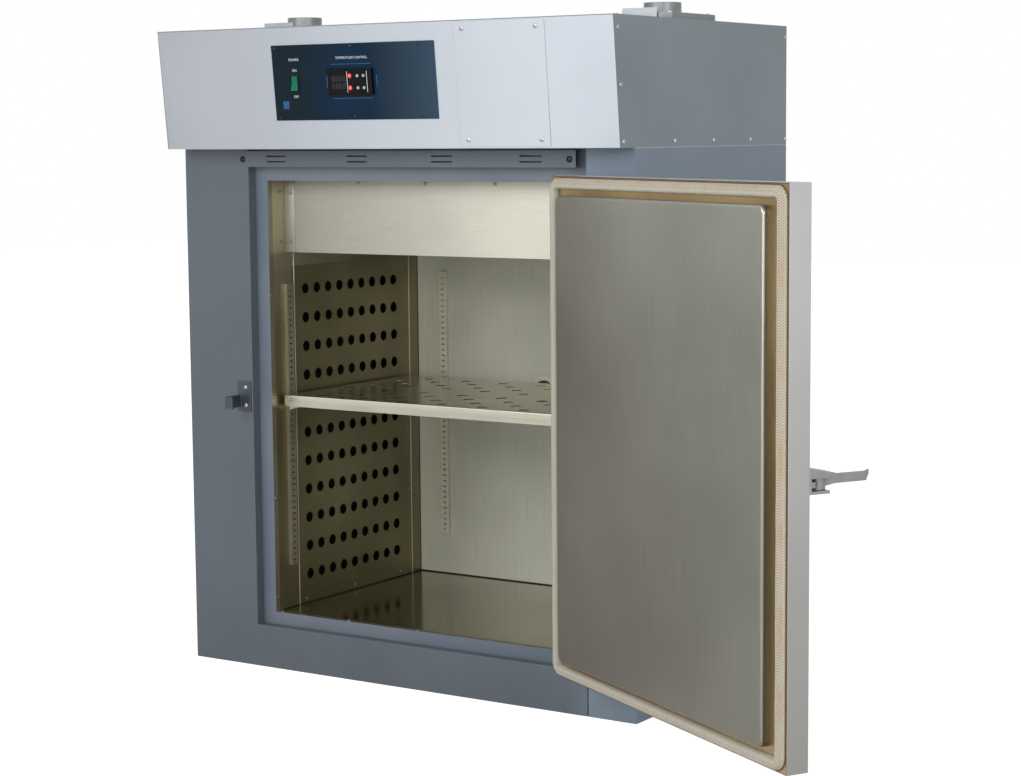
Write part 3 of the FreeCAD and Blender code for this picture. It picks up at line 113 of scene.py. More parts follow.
class ShaderGraph:
    """Adds linked nodes to the tree of one material, group or world."""

    def __init__(self, tree: bpy.types.NodeTree) -> None:
        """Keeps the tree that the nodes go into."""
        self.tree = tree

    def node(self, kind: str, inputs: Mapping | None = None, **settings: object) -> bpy.types.Node:
        """Adds one node.

        Args:
            kind: The node's type name.
            inputs: Values or sockets by input name or number.
            settings: Properties set on the node itself.

        Returns:
            The new node.
        """
        made = self.tree.nodes.new(kind)
        for key, value in settings.items():
            setattr(made, key, value)
        for key, value in (inputs or {}).items():
            self.feed(made.inputs[key], value)
        return made

    def feed(self, socket: NodeSocket, value: object) -> None:
        """Links a socket to another one, or sets its own value.

        Args:
            socket: The input to fill.
            value: Another node's output, or a plain value.
        """
        if isinstance(value, NodeSocket):
            self.tree.links.new(value, socket)
        else:
            socket.default_value = value

    def math(self, operation: str, first: object, second: object = 0.0) -> NodeSocket:
        """Adds a step on two numbers and returns its result."""
        return self.node("ShaderNodeMath", {0: first, 1: second}, operation=operation).outputs[0]

    def times(self, first: object, second: object) -> NodeSocket:
        """Multiplies two numbers."""
        return self.math("MULTIPLY", first, second)

    def plus(self, first: object, second: object) -> NodeSocket:
        """Adds two numbers."""
        return self.math("ADD", first, second)

    def vector(self, operation: str, first: object, second: object, output: int = 1) -> NodeSocket:
        """Adds a step on two vectors and returns its number, or its vector for output 0."""
        return self.node("ShaderNodeVectorMath", {0: first, 1: second}, operation=operation).outputs[output]

    def mix(self, share: object, first: object, second: object, blend: str = "MIX") -> NodeSocket:
        """Blends two colours by the share of the second one."""
        inputs = {0: share, 6: first, 7: second}
        return self.node("ShaderNodeMix", inputs, data_type="RGBA", blend_type=blend).outputs[2]

    def spread(self, value: object, low: object, high: object, start: float = 0.0,
               end: float = 1.0) -> NodeSocket:
        """Maps the range from low to high onto the one from start to end, held at both ends."""
        inputs = {0: value, 1: low, 2: high, 3: start, 4: end}
        return self.node("ShaderNodeMapRange", inputs, clamp=True).outputs[0]

    def turned(self, spot: NodeSocket, place: Matrix | None) -> NodeSocket:
        """Gives a point in the axes of a piece that is turned about z.

        Args:
            spot: The point in the frame's axes.
            place: The piece's own place, or None for the frame's axes.

        Returns:
            The point there.
        """
        if place is None:
            return spot
        centre = place.to_translation()
        inputs = {"Vector": spot, "Center": centre, "Angle": -place.to_euler().z}
        back = self.node("ShaderNodeVectorRotate", inputs, rotation_type="Z_AXIS").outputs[0]
        return self.vector("SUBTRACT", back, centre, 0)

    def parts(self, vector: NodeSocket) -> tuple[NodeSocket, ...]:
        """Splits a vector into its x, y and z."""
        return tuple(self.node("ShaderNodeSeparateXYZ", {0: vector}).outputs)

    def noise(self, vector: object, scale: object, detail: float = 2.0,
              roughness: float = 0.5) -> NodeSocket:
        """Adds soft noise and returns its value."""
        inputs = {"Vector": vector, "Scale": scale, "Detail": detail, "Roughness": roughness}
        return self.node("ShaderNodeTexNoise", inputs).outputs[0]

    def effect(self, effect: "Effect", **inputs: object) -> NodeSocket:
        """Places a shared effect with its own values and returns its output."""
        return self.node("ShaderNodeGroup", inputs, node_tree=effect.group()).outputs[0]

    def surface(self, colour: object, roughness: object, height: object = None, depth: float = 0.0002,
                **constants: object) -> None:
        """Ends a material with its shader.

        Args:
            colour: The base colour.
            roughness: The roughness.
            height: A value from 0 to 1 that lifts the surface.
            depth: How far that value lifts it.
            constants: Other inputs of the shader by name, with _ for a space.
        """
        inputs = {"Base Color": colour, "Roughness": roughness}
        inputs |= {key.replace("_", " "): value for key, value in constants.items()}
        if height is not None:
            bump = self.node("ShaderNodeBump", {"Height": height, "Distance": depth, "Strength": 1.0})
            inputs["Normal"] = bump.outputs[0]
        shader = self.node("ShaderNodeBsdfPrincipled", inputs)
        self.node("ShaderNodeOutputMaterial", {"Surface": shader.outputs[0]})


@dataclass(frozen=True)
class Effect:
    """A shader effect that several finishes share, kept as a node group."""

    name: str
    output: str
    body: Callable[[ShaderGraph, Mapping], NodeSocket]
    values: Mapping[str, float | Spot]
    reads: tuple[str, ...] = ("Vector",)

    def group(self) -> bpy.types.NodeTree:
        """Gives the effect's node group, built on its first use.

        Returns:
            The group, with one output.
        """
        found = bpy.data.node_groups.get(self.name)
        if found:
            return found
        tree = bpy.data.node_groups.new(self.name, "ShaderNodeTree")
        for name in self.reads:
            tree.interface.new_socket(name=name, in_out="INPUT", socket_type="NodeSocketVector")
        for name, value in self.values.items():
            kind = "NodeSocketVector" if isinstance(value, tuple) else "NodeSocketFloat"
            tree.interface.new_socket(name=name, in_out="INPUT", socket_type=kind).default_value = value
        tree.interface.new_socket(name=self.output, in_out="OUTPUT", socket_type="NodeSocketFloat")
        graph = ShaderGraph(tree)
        entry = graph.node("NodeGroupInput").outputs
        result = self.body(graph, {name: entry[name] for name in (*self.reads, *self.values)})
        graph.node("NodeGroupOutput", {0: result})
        return tree


def _grain(graph: ShaderGraph, given: Mapping) -> NodeSocket:
    """Fine lines, drawn out along the axis whose pitch is small."""
    return graph.noise(graph.vector("MULTIPLY", given["Vector"], given["Pitch"], 0), 1.0, 3.0, 0.65)


def _cloud(graph: ShaderGraph, given: Mapping) -> NodeSocket:
    """Wide soft patches, pushed towards both ends."""
    scale = graph.math("DIVIDE", 1.0, given["Size"])
    return graph.spread(graph.noise(given["Vector"], scale, 2.5, 0.5), 0.32, 0.68)


def _peel(graph: ShaderGraph, given: Mapping) -> NodeSocket:
    """The low rounded ripple of sprayed enamel."""
    scale = graph.math("DIVIDE", 1.0, given["Size"])
    inputs = {"Vector": given["Vector"], "Scale": scale}
    cells = graph.node("ShaderNodeTexVoronoi", inputs, feature="SMOOTH_F1")
    return graph.times(cells.outputs["Distance"], graph.noise(given["Vector"], scale, 1.0))


def _specks(graph: ShaderGraph, given: Mapping) -> NodeSocket:
    """A few small round spots, some missing."""
    scale = graph.math("DIVIDE", 1.0, given["Spacing"])
    cells = graph.node("ShaderNodeTexVoronoi", {"Vector": given["Vector"], "Scale": scale})
    dots = graph.math("LESS_THAN", cells.outputs["Distance"], given["Radius"])
    return graph.times(dots, graph.math("GREATER_THAN", graph.parts(cells.outputs["Color"])[0], 0.62))


def _spangle(graph: ShaderGraph, given: Mapping) -> NodeSocket:
    """The angular patches of a zinc coat."""
    scale = graph.math("DIVIDE", 1.0, given["Size"])
    bent = graph.noise(given["Vector"], graph.times(scale, 2.0), 1.0)
    moved = graph.vector("ADD", given["Vector"], bent, 0)
    cells = graph.node("ShaderNodeTexVoronoi", {"Vector": moved, "Scale": scale})
    return graph.parts(cells.outputs["Color"])[0]


def _soil(graph: ShaderGraph, given: Mapping) -> NodeSocket:
    """Dust and scuffs that thin out with height over the floor."""
    low = graph.spread(graph.parts(given["Vector"])[2], 0.0, given["Reach"], 1.0, 0.0)
    return graph.times(low, graph.spread(graph.noise(given["Vector"], 26.0, 4.0, 0.7), 0.42, 0.78))


def _fade(graph: ShaderGraph, given: Mapping) -> NodeSocket:
    """How far a point lies between two levels along an axis."""
    along = graph.vector("DOT_PRODUCT", given["Vector"], given["Axis"])
    return graph.spread(along, given["From"], given["To"])


def _weave(graph: ShaderGraph, given: Mapping) -> NodeSocket:
    """Two sets of yarns that cross on the slant, from a map of length and girth."""
    along, across, _ = graph.parts(given["Vector"])
    turns = graph.times(across, 3.0)
    rising, falling = (graph.math("SINE", graph.times(graph.math(way, along, turns), math.tau))
                       for way in ("ADD", "SUBTRACT"))
    return graph.spread(graph.math("MAXIMUM", rising, falling), -0.2, 1.0)


def _edge(graph: ShaderGraph, given: Mapping) -> NodeSocket:
    """A mask along sharp edges, from how far a rounded normal turns off the flat one."""
    rounded = graph.node("ShaderNodeBevel", {"Radius": given["Radius"]}, samples=4).outputs[0]
    flat = graph.node("ShaderNodeNewGeometry").outputs["Normal"]
    return graph.spread(graph.vector("DOT_PRODUCT", rounded, flat), 0.995, 0.85)


GRAIN = Effect("sheet_grain", "Grain", _grain, {"Pitch": (1, 1, 1)})
CLOUD = Effect("soft_cloud", "Cloud", _cloud, {"Size": 0.3})
PEEL = Effect("enamel_peel", "Height", _peel, {"Size": 0.002})
SPECKS = Effect("specks", "Mask", _specks, {"Spacing": 0.02, "Radius": 0.06})
SPANGLE = Effect("zinc_spangle", "Shade", _spangle, {"Size": 0.006})
SOIL = Effect("floor_soil", "Mask", _soil, {"Reach": 0.25})
WEAVE = Effect("yarn_weave", "Height", _weave, {})
FADE = Effect("fade", "Share", _fade, {"Axis": TO_THE_RIGHT, "From": 0.0, "To": 1.0})
EDGE = Effect("edge_mask", "Mask", _edge, {"Radius": 0.0015}, reads=())


@dataclass(frozen=True)
class Finish:
    """A named finish. Each kind adds nodes of its own."""

    name: str

    def make(self) -> Material:
        """Builds the material.

        Returns:
            The material with all its nodes.
        """
        material = bpy.data.materials.new(self.name)
        material.use_nodes = True
        material.node_tree.nodes.clear()
        graph = ShaderGraph(material.node_tree)
        self.paint(graph, graph.node("ShaderNodeTexCoord").outputs["Object"])
        return material

    def paint(self, graph: ShaderGraph, spot: NodeSocket) -> None:
        """Adds the finish's nodes.

        Args:
            graph: The graph that they go into.
            spot: The point on the surface, in the frame's axes.
        """
        raise NotImplementedError(self.name)


class Brushed(Enum):
    """Which way the fine lines of a sheet run, with their pitch on each axis."""

    UP = (700.0, 700.0, 9.0)
    ACROSS = (9.0, 700.0, 700.0)
    NONE = (240.0, 240.0, 240.0)


@dataclass(frozen=True)
class Fade:
    """Painted light and shade: a slow darkening or lightening between two levels along an axis, standing in
    for how light falls.
    """

    axis: Spot
    start: float
    end: float
    tint: Colour

    def over(self, graph: ShaderGraph, spot: NodeSocket, colour: object) -> NodeSocket:
        """Tints a colour at the fade's start and leaves it at its end."""
        share = graph.effect(FADE, Vector=spot, Axis=self.axis, From=self.start, To=self.end)
        return graph.mix(share, graph.mix(1.0, colour, self.tint, "MULTIPLY"), colour)


@dataclass(frozen=True)
class Enamel(Finish):
    """Baked enamel on sheet steel, with a faint ripple and pale edges, partly wear and partly a painted
    highlight.
    """

    colour: Colour
    shade: Colour
    roughness: float = 0.42
    edge_lift: float = 0.35
    fade: Fade | None = None

    def paint(self, graph: ShaderGraph, spot: NodeSocket) -> None:
        """Adds patches, specks, pale edges (partly wear, partly a painted highlight) and soil near the
        floor.
        """
        cloud = graph.effect(CLOUD, Vector=spot, Size=0.32)
        colour = graph.mix(cloud, self.shade, self.colour)
        specks = graph.effect(SPECKS, Vector=spot, Spacing=0.022, Radius=0.045)
        pale = lifted(self.colour, 1.7, 0.02)
        colour = graph.mix(graph.times(specks, 0.1), colour, pale)
        # Pale edges: partly wear and partly a painted highlight along the rounded edges.
        colour = graph.mix(graph.times(graph.effect(EDGE, Radius=0.0018), self.edge_lift), colour, pale)
        soil = graph.times(graph.effect(SOIL, Vector=spot, Reach=0.12), 0.35)
        colour = graph.mix(soil, colour, tone(92, 90, 84))
        # Painted light and shade: the optional fade darkens or lightens the enamel along an axis.
        if self.fade:
            colour = self.fade.over(graph, spot, colour)
        rough = graph.spread(cloud, 0, 1, self.roughness - 0.03, self.roughness + 0.04)
        rough = graph.plus(rough, graph.times(soil, 0.3))
        graph.surface(colour, rough, graph.effect(PEEL, Vector=spot, Size=0.0022), 0.00004)


@dataclass(frozen=True)
class LippedEnamel(Finish):
    """Enamel on the front of a plate whose turned-in lip is bare steel."""

    paint_tone: Colour
    steel_tone: Colour
    lip_from: float

    def paint(self, graph: ShaderGraph, spot: NodeSocket) -> None:
        """Adds enamel up to the depth where the lip starts, and steel behind it."""
        bare = graph.math("GREATER_THAN", graph.parts(spot)[1], self.lip_from)
        cloud = graph.effect(CLOUD, Vector=spot, Size=0.25)
        grain = graph.effect(GRAIN, Vector=spot, Pitch=Brushed.UP.value)
        steel = graph.mix(graph.times(grain, 0.5), self.steel_tone, tone(90, 84, 70))
        paint = graph.mix(cloud, self.paint_tone, tone(88, 100, 112))
        peel = graph.effect(PEEL, Vector=spot, Size=0.0022)
        rough = graph.plus(graph.times(cloud, 0.06), 0.36)
        graph.surface(graph.mix(bare, paint, steel), rough, peel, 0.00003, Metallic=graph.times(bare, 0.9))


@dataclass(frozen=True)
class SheetSteel(Finish):
    """Bare stainless sheet with fine lines, hazy patches and a few marks."""

    light: Colour
    dark: Colour
    roughness: float = 0.3
    brushed: Brushed = Brushed.UP
    patch: float = 0.35
    haze: float = 0.1
    place: Matrix | None = None
    metallic: float = 1.0
    fade: Fade | None = None

    def paint(self, graph: ShaderGraph, spot: NodeSocket) -> None:
        """Adds patches, brushed lines, marks and smears."""
        spot = graph.turned(spot, self.place)
        cloud = graph.effect(CLOUD, Vector=spot, Size=self.patch)
        smear = graph.effect(CLOUD, Vector=spot, Size=0.06)
        grain = graph.effect(GRAIN, Vector=spot, Pitch=self.brushed.value)
        marks = graph.effect(SPECKS, Vector=spot, Spacing=0.035, Radius=0.03)
        lines = graph.spread(grain, 0.3, 0.7, 0.9, 1.08)
        shade = graph.node("ShaderNodeCombineColor", {0: lines, 1: lines, 2: lines}).outputs[0]
        colour = graph.mix(1.0, graph.mix(cloud, self.dark, self.light), shade, "MULTIPLY")
        colour = graph.mix(graph.times(marks, 0.35), colour, tone(70, 64, 52))
        # Painted light and shade: the optional fade darkens or lightens the sheet along an axis.
        if self.fade:
            colour = self.fade.over(graph, spot, colour)
        rough = graph.plus(graph.times(smear, self.haze * 0.6), self.roughness)
        rough = graph.plus(rough, graph.spread(grain, 0.2, 0.8, -self.haze / 2, self.haze / 2))
        graph.surface(colour, rough, grain, 0.00001, Metallic=self.metallic)


@dataclass(frozen=True)
class ZincSheet(Finish):
    """Galvanised sheet with its angular spangle."""

    light: Colour
    dark: Colour

    def paint(self, graph: ShaderGraph, spot: NodeSocket) -> None:
        """Adds the spangle, uneven in strength."""
        shade = graph.effect(SPANGLE, Vector=spot, Size=0.007)
        cloud = graph.effect(CLOUD, Vector=spot, Size=0.2)
        share = graph.times(shade, graph.spread(cloud, 0, 1, 0.6, 1.0))
        graph.surface(graph.mix(share, self.dark, self.light), graph.spread(shade, 0, 1, 0.36, 0.58), shade,
                      0.00002, Metallic=0.85)


@dataclass(frozen=True)
class CastMetal(Finish):
    """Zinc or aluminium casting with a sandy skin and pale edges, partly from rubbing and partly a painted
    highlight.
    """

    colour: Colour
    rubbed_and_highlit: Colour
    skin: float = 0.00008

    def paint(self, graph: ShaderGraph, spot: NodeSocket) -> None:
        """Adds the sandy skin, dull patches and pale edges, partly from rubbing and partly a painted
        highlight.
        """
        sand = graph.noise(spot, 1400.0, 3.0, 0.7)
        cloud = graph.effect(CLOUD, Vector=spot, Size=0.03)
        colour = graph.mix(graph.times(cloud, 0.3), self.colour, tone(95, 97, 96))
        # Pale edges: partly wear from rubbing and partly a painted highlight.
        colour = graph.mix(graph.times(graph.effect(EDGE, Radius=0.0012), 0.7), colour, self.rubbed_and_highlit)
        rough = graph.plus(graph.spread(sand, 0.3, 0.7, -0.06, 0.08), 0.42)
        graph.surface(colour, rough, sand, self.skin, Metallic=0.8)


@dataclass(frozen=True)
class BraidedFibre(Finish):
    """Knitted glass-fibre rope, cream, with heat stains along its outer side."""

    yarn: Colour
    hollow: Colour
    stain: Colour
    stitch: Colour

    def paint(self, graph: ShaderGraph, spot: NodeSocket) -> None:
        """Adds the yarns, stains and stitches, by length and girth from the rope's map."""
        chart = graph.node("ShaderNodeTexCoord").outputs["UV"]
        weave = graph.effect(WEAVE, Vector=chart)
        fuzz = graph.noise(spot, 900.0, 4.0, 0.8)
        colour = graph.mix(graph.spread(weave, 0.0, 0.75), self.hollow, self.yarn)
        across = graph.parts(chart)[1]
        outer = graph.times(graph.spread(across, 0.48, 0.42), graph.spread(across, 0.1, 0.18))
        blotch = graph.spread(graph.noise(spot, 14.0, 3.0, 0.6), 0.4, 0.62)
        fine = graph.spread(graph.noise(spot, 120.0, 2.0), 0.45, 0.62)
        soiled = graph.times(outer, graph.spread(blotch, 0, 1, 0.4, 0.75))
        spotted = graph.times(graph.times(blotch, fine), 0.32)
        colour = graph.mix(graph.math("MAXIMUM", soiled, spotted), colour, self.stain)
        height = graph.plus(weave, graph.times(fuzz, 0.35))
        graph.surface(self._stitched(graph, chart, colour), 0.92, height, 0.0005, Sheen_Weight=0.2,
                      Sheen_Roughness=0.6)

    def _stitched(self, graph: ShaderGraph, chart: NodeSocket, colour: NodeSocket) -> NodeSocket:
        """Lays a row of dark stitches along the rope's crown.

        Args:
            graph: The graph that the nodes go into.
            chart: The rope's map of length and girth.
            colour: The rope's colour.

        Returns:
            The colour with the stitches.
        """
        along, across, _ = graph.parts(chart)
        near = graph.spread(graph.math("ABSOLUTE", graph.math("SUBTRACT", across, 0.5)), 0.07, 0.03)
        pulse = graph.spread(graph.math("SINE", graph.times(along, math.tau)), -0.4, 0.2)
        return graph.mix(graph.times(graph.times(near, pulse), 0.6), colour, self.stitch)


@dataclass(frozen=True)
class MouldedPlastic(Finish):
    """Moulded plastic with a fine spark-eroded skin."""

    colour: Colour
    roughness: float = 0.5
    skin: float = 0.00003
    shine: float = 0.3

    def paint(self, graph: ShaderGraph, spot: NodeSocket) -> None:
        """Adds the eroded skin, and paler edges that are partly wear and partly a painted highlight."""
        skin = graph.noise(spot, 2600.0, 2.0, 0.7)
        cloud = graph.effect(CLOUD, Vector=spot, Size=0.02)
        # Paler edges: partly wear and partly a painted highlight.
        edge_wear_and_highlight = graph.times(graph.effect(EDGE, Radius=0.0008), 0.5)
        colour = graph.mix(graph.math("MAXIMUM", edge_wear_and_highlight, graph.times(cloud, 0.25)), self.colour,
                           lifted(self.colour, 1.5, 0.01))
        rough = graph.plus(graph.spread(skin, 0.3, 0.7, -0.05, 0.05), self.roughness)
        graph.surface(colour, rough, skin, self.skin, Specular_IOR_Level=self.shine)


@dataclass(frozen=True)
class PrintedOverlay(Finish):
    """Navy print under clear film, bluer round the controller, and paler to the right by painted light."""

    navy: Colour
    blue: Colour
    edge: Colour
    far: Colour
    centre: Spot
    reach: float = 0.13

    def paint(self, graph: ShaderGraph, spot: NodeSocket) -> None:
        """Adds the blue glow, the painted light of the paler right end and the film's fine grain."""
        near = graph.spread(graph.vector("DISTANCE", spot, self.centre), self.reach, self.reach * 0.3)
        fine = graph.noise(spot, 1800.0, 2.0)
        cloud = graph.effect(CLOUD, Vector=spot, Size=0.12)
        glow = graph.times(near, graph.spread(cloud, 0, 1, 0.55, 1.0))
        # Painted light: the overlay turns paler towards its right end.
        far = graph.effect(FADE, Vector=spot, Axis=TO_THE_RIGHT, From=self.centre[0] + 0.04,
                           To=self.centre[0] + 0.2)
        colour = graph.mix(far, graph.mix(glow, self.navy, self.blue), self.far)
        colour = graph.mix(graph.spread(fine, 0.4, 0.7, 0.0, 0.12), colour, self.edge)
        graph.surface(colour, graph.spread(cloud, 0, 1, 0.4, 0.48), fine, 0.00001, Specular_IOR_Level=0.12)


@dataclass(frozen=True)
class TintedWindow(Finish):
    """Near-black clear plastic over a display."""

    colour: Colour

    def paint(self, graph: ShaderGraph, spot: NodeSocket) -> None:
        """Adds faint patches and wiping streaks."""
        cloud = graph.effect(CLOUD, Vector=spot, Size=0.02)
        streak = graph.effect(GRAIN, Vector=spot, Pitch=(900.0, 900.0, 60.0))
        colour = graph.mix(graph.times(cloud, 0.5), self.colour, tone(34, 30, 34))
        rough = graph.spread(streak, 0.3, 0.7, 0.06, 0.16)
        graph.surface(colour, rough, streak, 0.000004, Specular_IOR_Level=0.2)


@dataclass(frozen=True)
class LampLens(Finish):
    """A small lit lens, brightest in the middle of its dome."""

    rim: Colour
    core: Colour
    strength: float
    outward: Spot = (0.0, -0.995, 0.1)

    def paint(self, graph: ShaderGraph, spot: NodeSocket) -> None:
        """Adds the light, from how far the dome turns off the way it looks."""
        normal = graph.node("ShaderNodeNewGeometry").outputs["Normal"]
        ripple = graph.noise(spot, 900.0, 2.0)
        crown = graph.spread(graph.vector("DOT_PRODUCT", normal, self.outward), 0.98, 0.6)
        colour = graph.mix(graph.plus(crown, graph.times(ripple, 0.15)), self.core, self.rim)
        graph.surface(self.rim, 0.2, ripple, 0.00002, Emission_Color=colour, Emission_Strength=self.strength)


@dataclass(frozen=True)
class PrintInk(Finish):
    """Screen-printed ink, a little uneven."""

    colour: Colour

    def paint(self, graph: ShaderGraph, spot: NodeSocket) -> None:
        """Adds thin places in the ink."""
        grain = graph.noise(spot, 1500.0, 2.0)
        colour = graph.mix(graph.spread(grain, 0.35, 0.65), lifted(self.colour, 0.75), self.colour)
        graph.surface(colour, 0.55, grain, 0.00001)


@dataclass(frozen=True)
class Fibrous(Finish):
    """Wool, rubber or another soft stuff with a lumpy or fine skin."""

    colour: Colour
    deep: Colour
    pitch: float
    relief: float

    def paint(self, graph: ShaderGraph, spot: NodeSocket) -> None:
        """Adds the tangle, darker and rougher in its depths."""
        tangle = graph.noise(spot, 1.0 / self.pitch, 5.0, 0.75)
        colour = graph.mix(graph.spread(tangle, 0.35, 0.65), self.deep, self.colour)
        graph.surface(colour, graph.spread(tangle, 0.3, 0.7, 0.75, 0.95), tangle, self.relief)


@dataclass(frozen=True)
class StudioFloor(Finish):
    """A pale floor that meets the white surround."""

    def paint(self, graph: ShaderGraph, spot: NodeSocket) -> None:
        """Adds a faint mottle, and lights the floor for the camera."""
        shade = graph.mix(graph.noise(spot, 3.0, 3.0), tone(236, 236, 236), tone(240, 240, 240))
        seen = graph.node("ShaderNodeLightPath").outputs["Is Camera Ray"]
        graph.surface(shade, 0.85, Emission_Color=WHITE, Emission_Strength=graph.times(seen, 0.6))


def all_finishes(door: Matrix, controller: Spot, lip_from: float) -> dict[str, Material]:
    """Makes every finish of the oven once.

    Args:
        door: The door's own place.
        controller: The point that the overlay is bluest round.
        lip_from: The depth where the door frame's bare lip starts.

    Returns:
        The materials by name.
    """
    across = Brushed.ACROSS
    small = {"brushed": Brushed.NONE, "patch": 0.01}
    kinds = (
        # Painted light and shade: the fade darkens the front frame left of the right flange, leaving the
        # flange lighter as a painted reflection.
        Enamel("slate_enamel", tone(104, 115, 126), tone(97, 108, 119),
               fade=Fade(TO_THE_RIGHT, 0.4, 0.52, (0.61, 0.6, 0.58, 1))),
        # Painted light: a lighter copy of the slate enamel, for the lit side panels.
        Enamel("side_enamel", tone(109, 123, 136), tone(100, 113, 126)),
        # Painted light: another lighter copy of the slate enamel, for the hood's ends and cover.
        Enamel("hood_enamel", tone(121, 131, 137), tone(108, 118, 124), 0.46),
        # Painted shade: the fade darkens the hood front towards its left end.
        Enamel("pale_enamel", tone(186, 193, 201), tone(180, 187, 195), edge_lift=0.4,
               fade=Fade(TO_THE_RIGHT, -0.55, 0.45, (0.67, 0.65, 0.65, 1))),
        # Painted shade: a darker copy of the pale enamel for the door, whose fade darkens and warms it
        # towards the bottom.
        Enamel("door_enamel", tone(167, 170, 169), tone(158, 160, 160), 0.45, edge_lift=0.4,
               fade=Fade((0, 0, 1), 0.1, 1.0, (0.69, 0.65, 0.61, 1))),
        LippedEnamel("lipped_enamel", tone(103, 109, 118), tone(165, 156, 138), lip_from),
        SheetSteel("duct_steel", tone(142, 136, 111), tone(116, 109, 85), 0.34),
        # Painted shade: the fade darkens the duct frames everywhere but near their top front.
        SheetSteel("surround_steel", tone(196, 188, 164), tone(168, 160, 136), 0.38,
                   fade=Fade((0, -0.5, 1), 0.85, 1.0, (0.5, 0.48, 0.42, 1))),
        # Painted shade: a dark copy of the chamber steel, for the shaded liner sides behind the pierced
        # panels and the rims of the shelf's holes.
        SheetSteel("cavity_steel", tone(60, 56, 42), tone(42, 39, 28), 0.55),
        # Painted light: the fade lightens the back wall near the left wall.
        SheetSteel("rear_steel", tone(196, 197, 184), tone(176, 177, 163), 0.5, metallic=0.35,
                   fade=Fade(TO_THE_RIGHT, -0.352, -0.27, (1.35, 1.38, 1.35, 1))),
        # Painted shade: the fade darkens the plenum towards its left side.
        SheetSteel("plenum_steel", tone(202, 201, 188), tone(192, 190, 177), 0.5, across, metallic=0.85,
                   fade=Fade(TO_THE_RIGHT, -0.36, 0.25, (0.52, 0.52, 0.52, 1))),
        SheetSteel("floor_steel", tone(165, 161, 142), tone(138, 134, 114), 0.12, across, haze=0.06),
        SheetSteel("shelf_steel", tone(214, 210, 194), tone(198, 194, 178), 0.22, across, haze=0.07),
        # Painted shade: a darker, more metallic copy of the strip steel, for the front shelf strips.
        SheetSteel("front_strip_steel", tone(170, 166, 148), tone(140, 136, 118), 0.34, metallic=0.85),
        SheetSteel("fixing_steel", tone(158, 154, 136), tone(126, 122, 104), **small),
        # Painted light: the paler copy of the strip steel, for the rear strips, clips and sleeve, and a
        # painted highlight on the panel edges.
        SheetSteel("strip_steel", tone(218, 216, 202), tone(200, 197, 180), 0.34, metallic=0.45),
        # Painted light and shade: the fade darkens the plug from one side across to the other, in the door's
        # own axes.
        SheetSteel("plug_steel", tone(165, 165, 154), tone(142, 142, 132), place=door, patch=0.5,
                   fade=Fade((-1, 0, 0.6), 0.2, 1.4, (0.66, 0.62, 0.6, 1))),
        # Painted reflection: the warm brown tone of the steel band between plug and gasket.
        SheetSteel("margin_steel", tone(190, 166, 124), tone(146, 124, 88), 0.4, place=door),
        SheetSteel("screw_steel", tone(205, 206, 206), tone(168, 170, 172), 0.24, **small),
        SheetSteel("dark_screw_steel", tone(70, 74, 80), tone(46, 50, 56), 0.34, **small),
        ZincSheet("zinc_sheet", tone(190, 194, 196), tone(150, 154, 158)),
        CastMetal("zinc_casting", tone(150, 151, 150), tone(205, 206, 204)),
        # Painted shade: a dark copy of the zinc casting, for the keeper.
        CastMetal("keeper_casting", tone(78, 85, 93), tone(140, 142, 142)),
        CastMetal("damper_casting", tone(132, 136, 138), tone(180, 184, 186), 0.00005),
        CastMetal("motor_casting", tone(96, 100, 104), tone(150, 154, 156), 0.00012),
        BraidedFibre("braided_fibre", tone(181, 177, 162), tone(148, 141, 123), tone(158, 134, 106),
                     tone(126, 120, 108)),
        Fibrous("gasket_bead", tone(112, 84, 48), tone(74, 54, 32), 0.004, 0.0003),
        # Partly the seam and partly painted shade in the corners of the chamber.
        Fibrous("corner_seam", tone(44, 41, 28), tone(30, 28, 18), 0.003, 0.0001),
        Fibrous("mineral_wool", tone(206, 190, 132), tone(150, 134, 84), 0.006, 0.002),
        Fibrous("silicone", tone(38, 36, 33), tone(26, 24, 22), 0.002, 0.0001),
        PrintedOverlay("printed_overlay", tone(8, 25, 35), tone(2, 35, 64), tone(32, 48, 60),
                       tone(44, 63, 80), controller),
        MouldedPlastic("black_plastic", tone(10, 11, 13), shine=0.18),
        MouldedPlastic("bezel_plastic", tone(4, 4, 6), shine=0.12),
        MouldedPlastic("key_plastic", tone(150, 156, 152), 0.45, 0.00002),
        MouldedPlastic("rocker_plastic", tone(0, 98, 74), 0.4, 0.00001, 0.2),
        TintedWindow("tinted_window", tone(12, 12, 14)),
        LampLens("red_lamp", tone(190, 0, 30), tone(255, 130, 136), 0.75),
        LampLens("blue_lamp", tone(6, 56, 104), tone(50, 120, 180), 0.3),
        PrintInk("pale_ink", tone(200, 206, 214)),
        PrintInk("blue_ink", tone(4, 70, 124)),
        PrintInk("teal_ink", tone(28, 88, 108)),
        PrintInk("ghost_segment", tone(52, 46, 48)),
    )
    return {kind.name: kind.make() for kind in kinds}


def extent(points: Sequence[Vector]) -> Box:
    """Gives the lowest and highest corner of some points."""
    return tuple(Vector([pick(point[axis] for point in points) for axis in range(3)]) for pick in (min, max))


def welded(work: BMesh, name: str, weld: float = 0.0) -> Mesh:
    """Turns a finished bmesh into a mesh with its faces outward.

    Args:
        work: The bmesh, which is freed.
        name: The mesh's name.
        weld: The distance within which vertices are joined, or 0.

    Returns:
        The new mesh.
    """
    if weld:
        bmesh.ops.remove_doubles(work, verts=work.verts[:], dist=weld)
    bmesh.ops.recalc_face_normals(work, faces=work.faces[:])
    mesh = bpy.data.meshes.new(name)
    work.to_mesh(mesh)
    work.free()
    return mesh


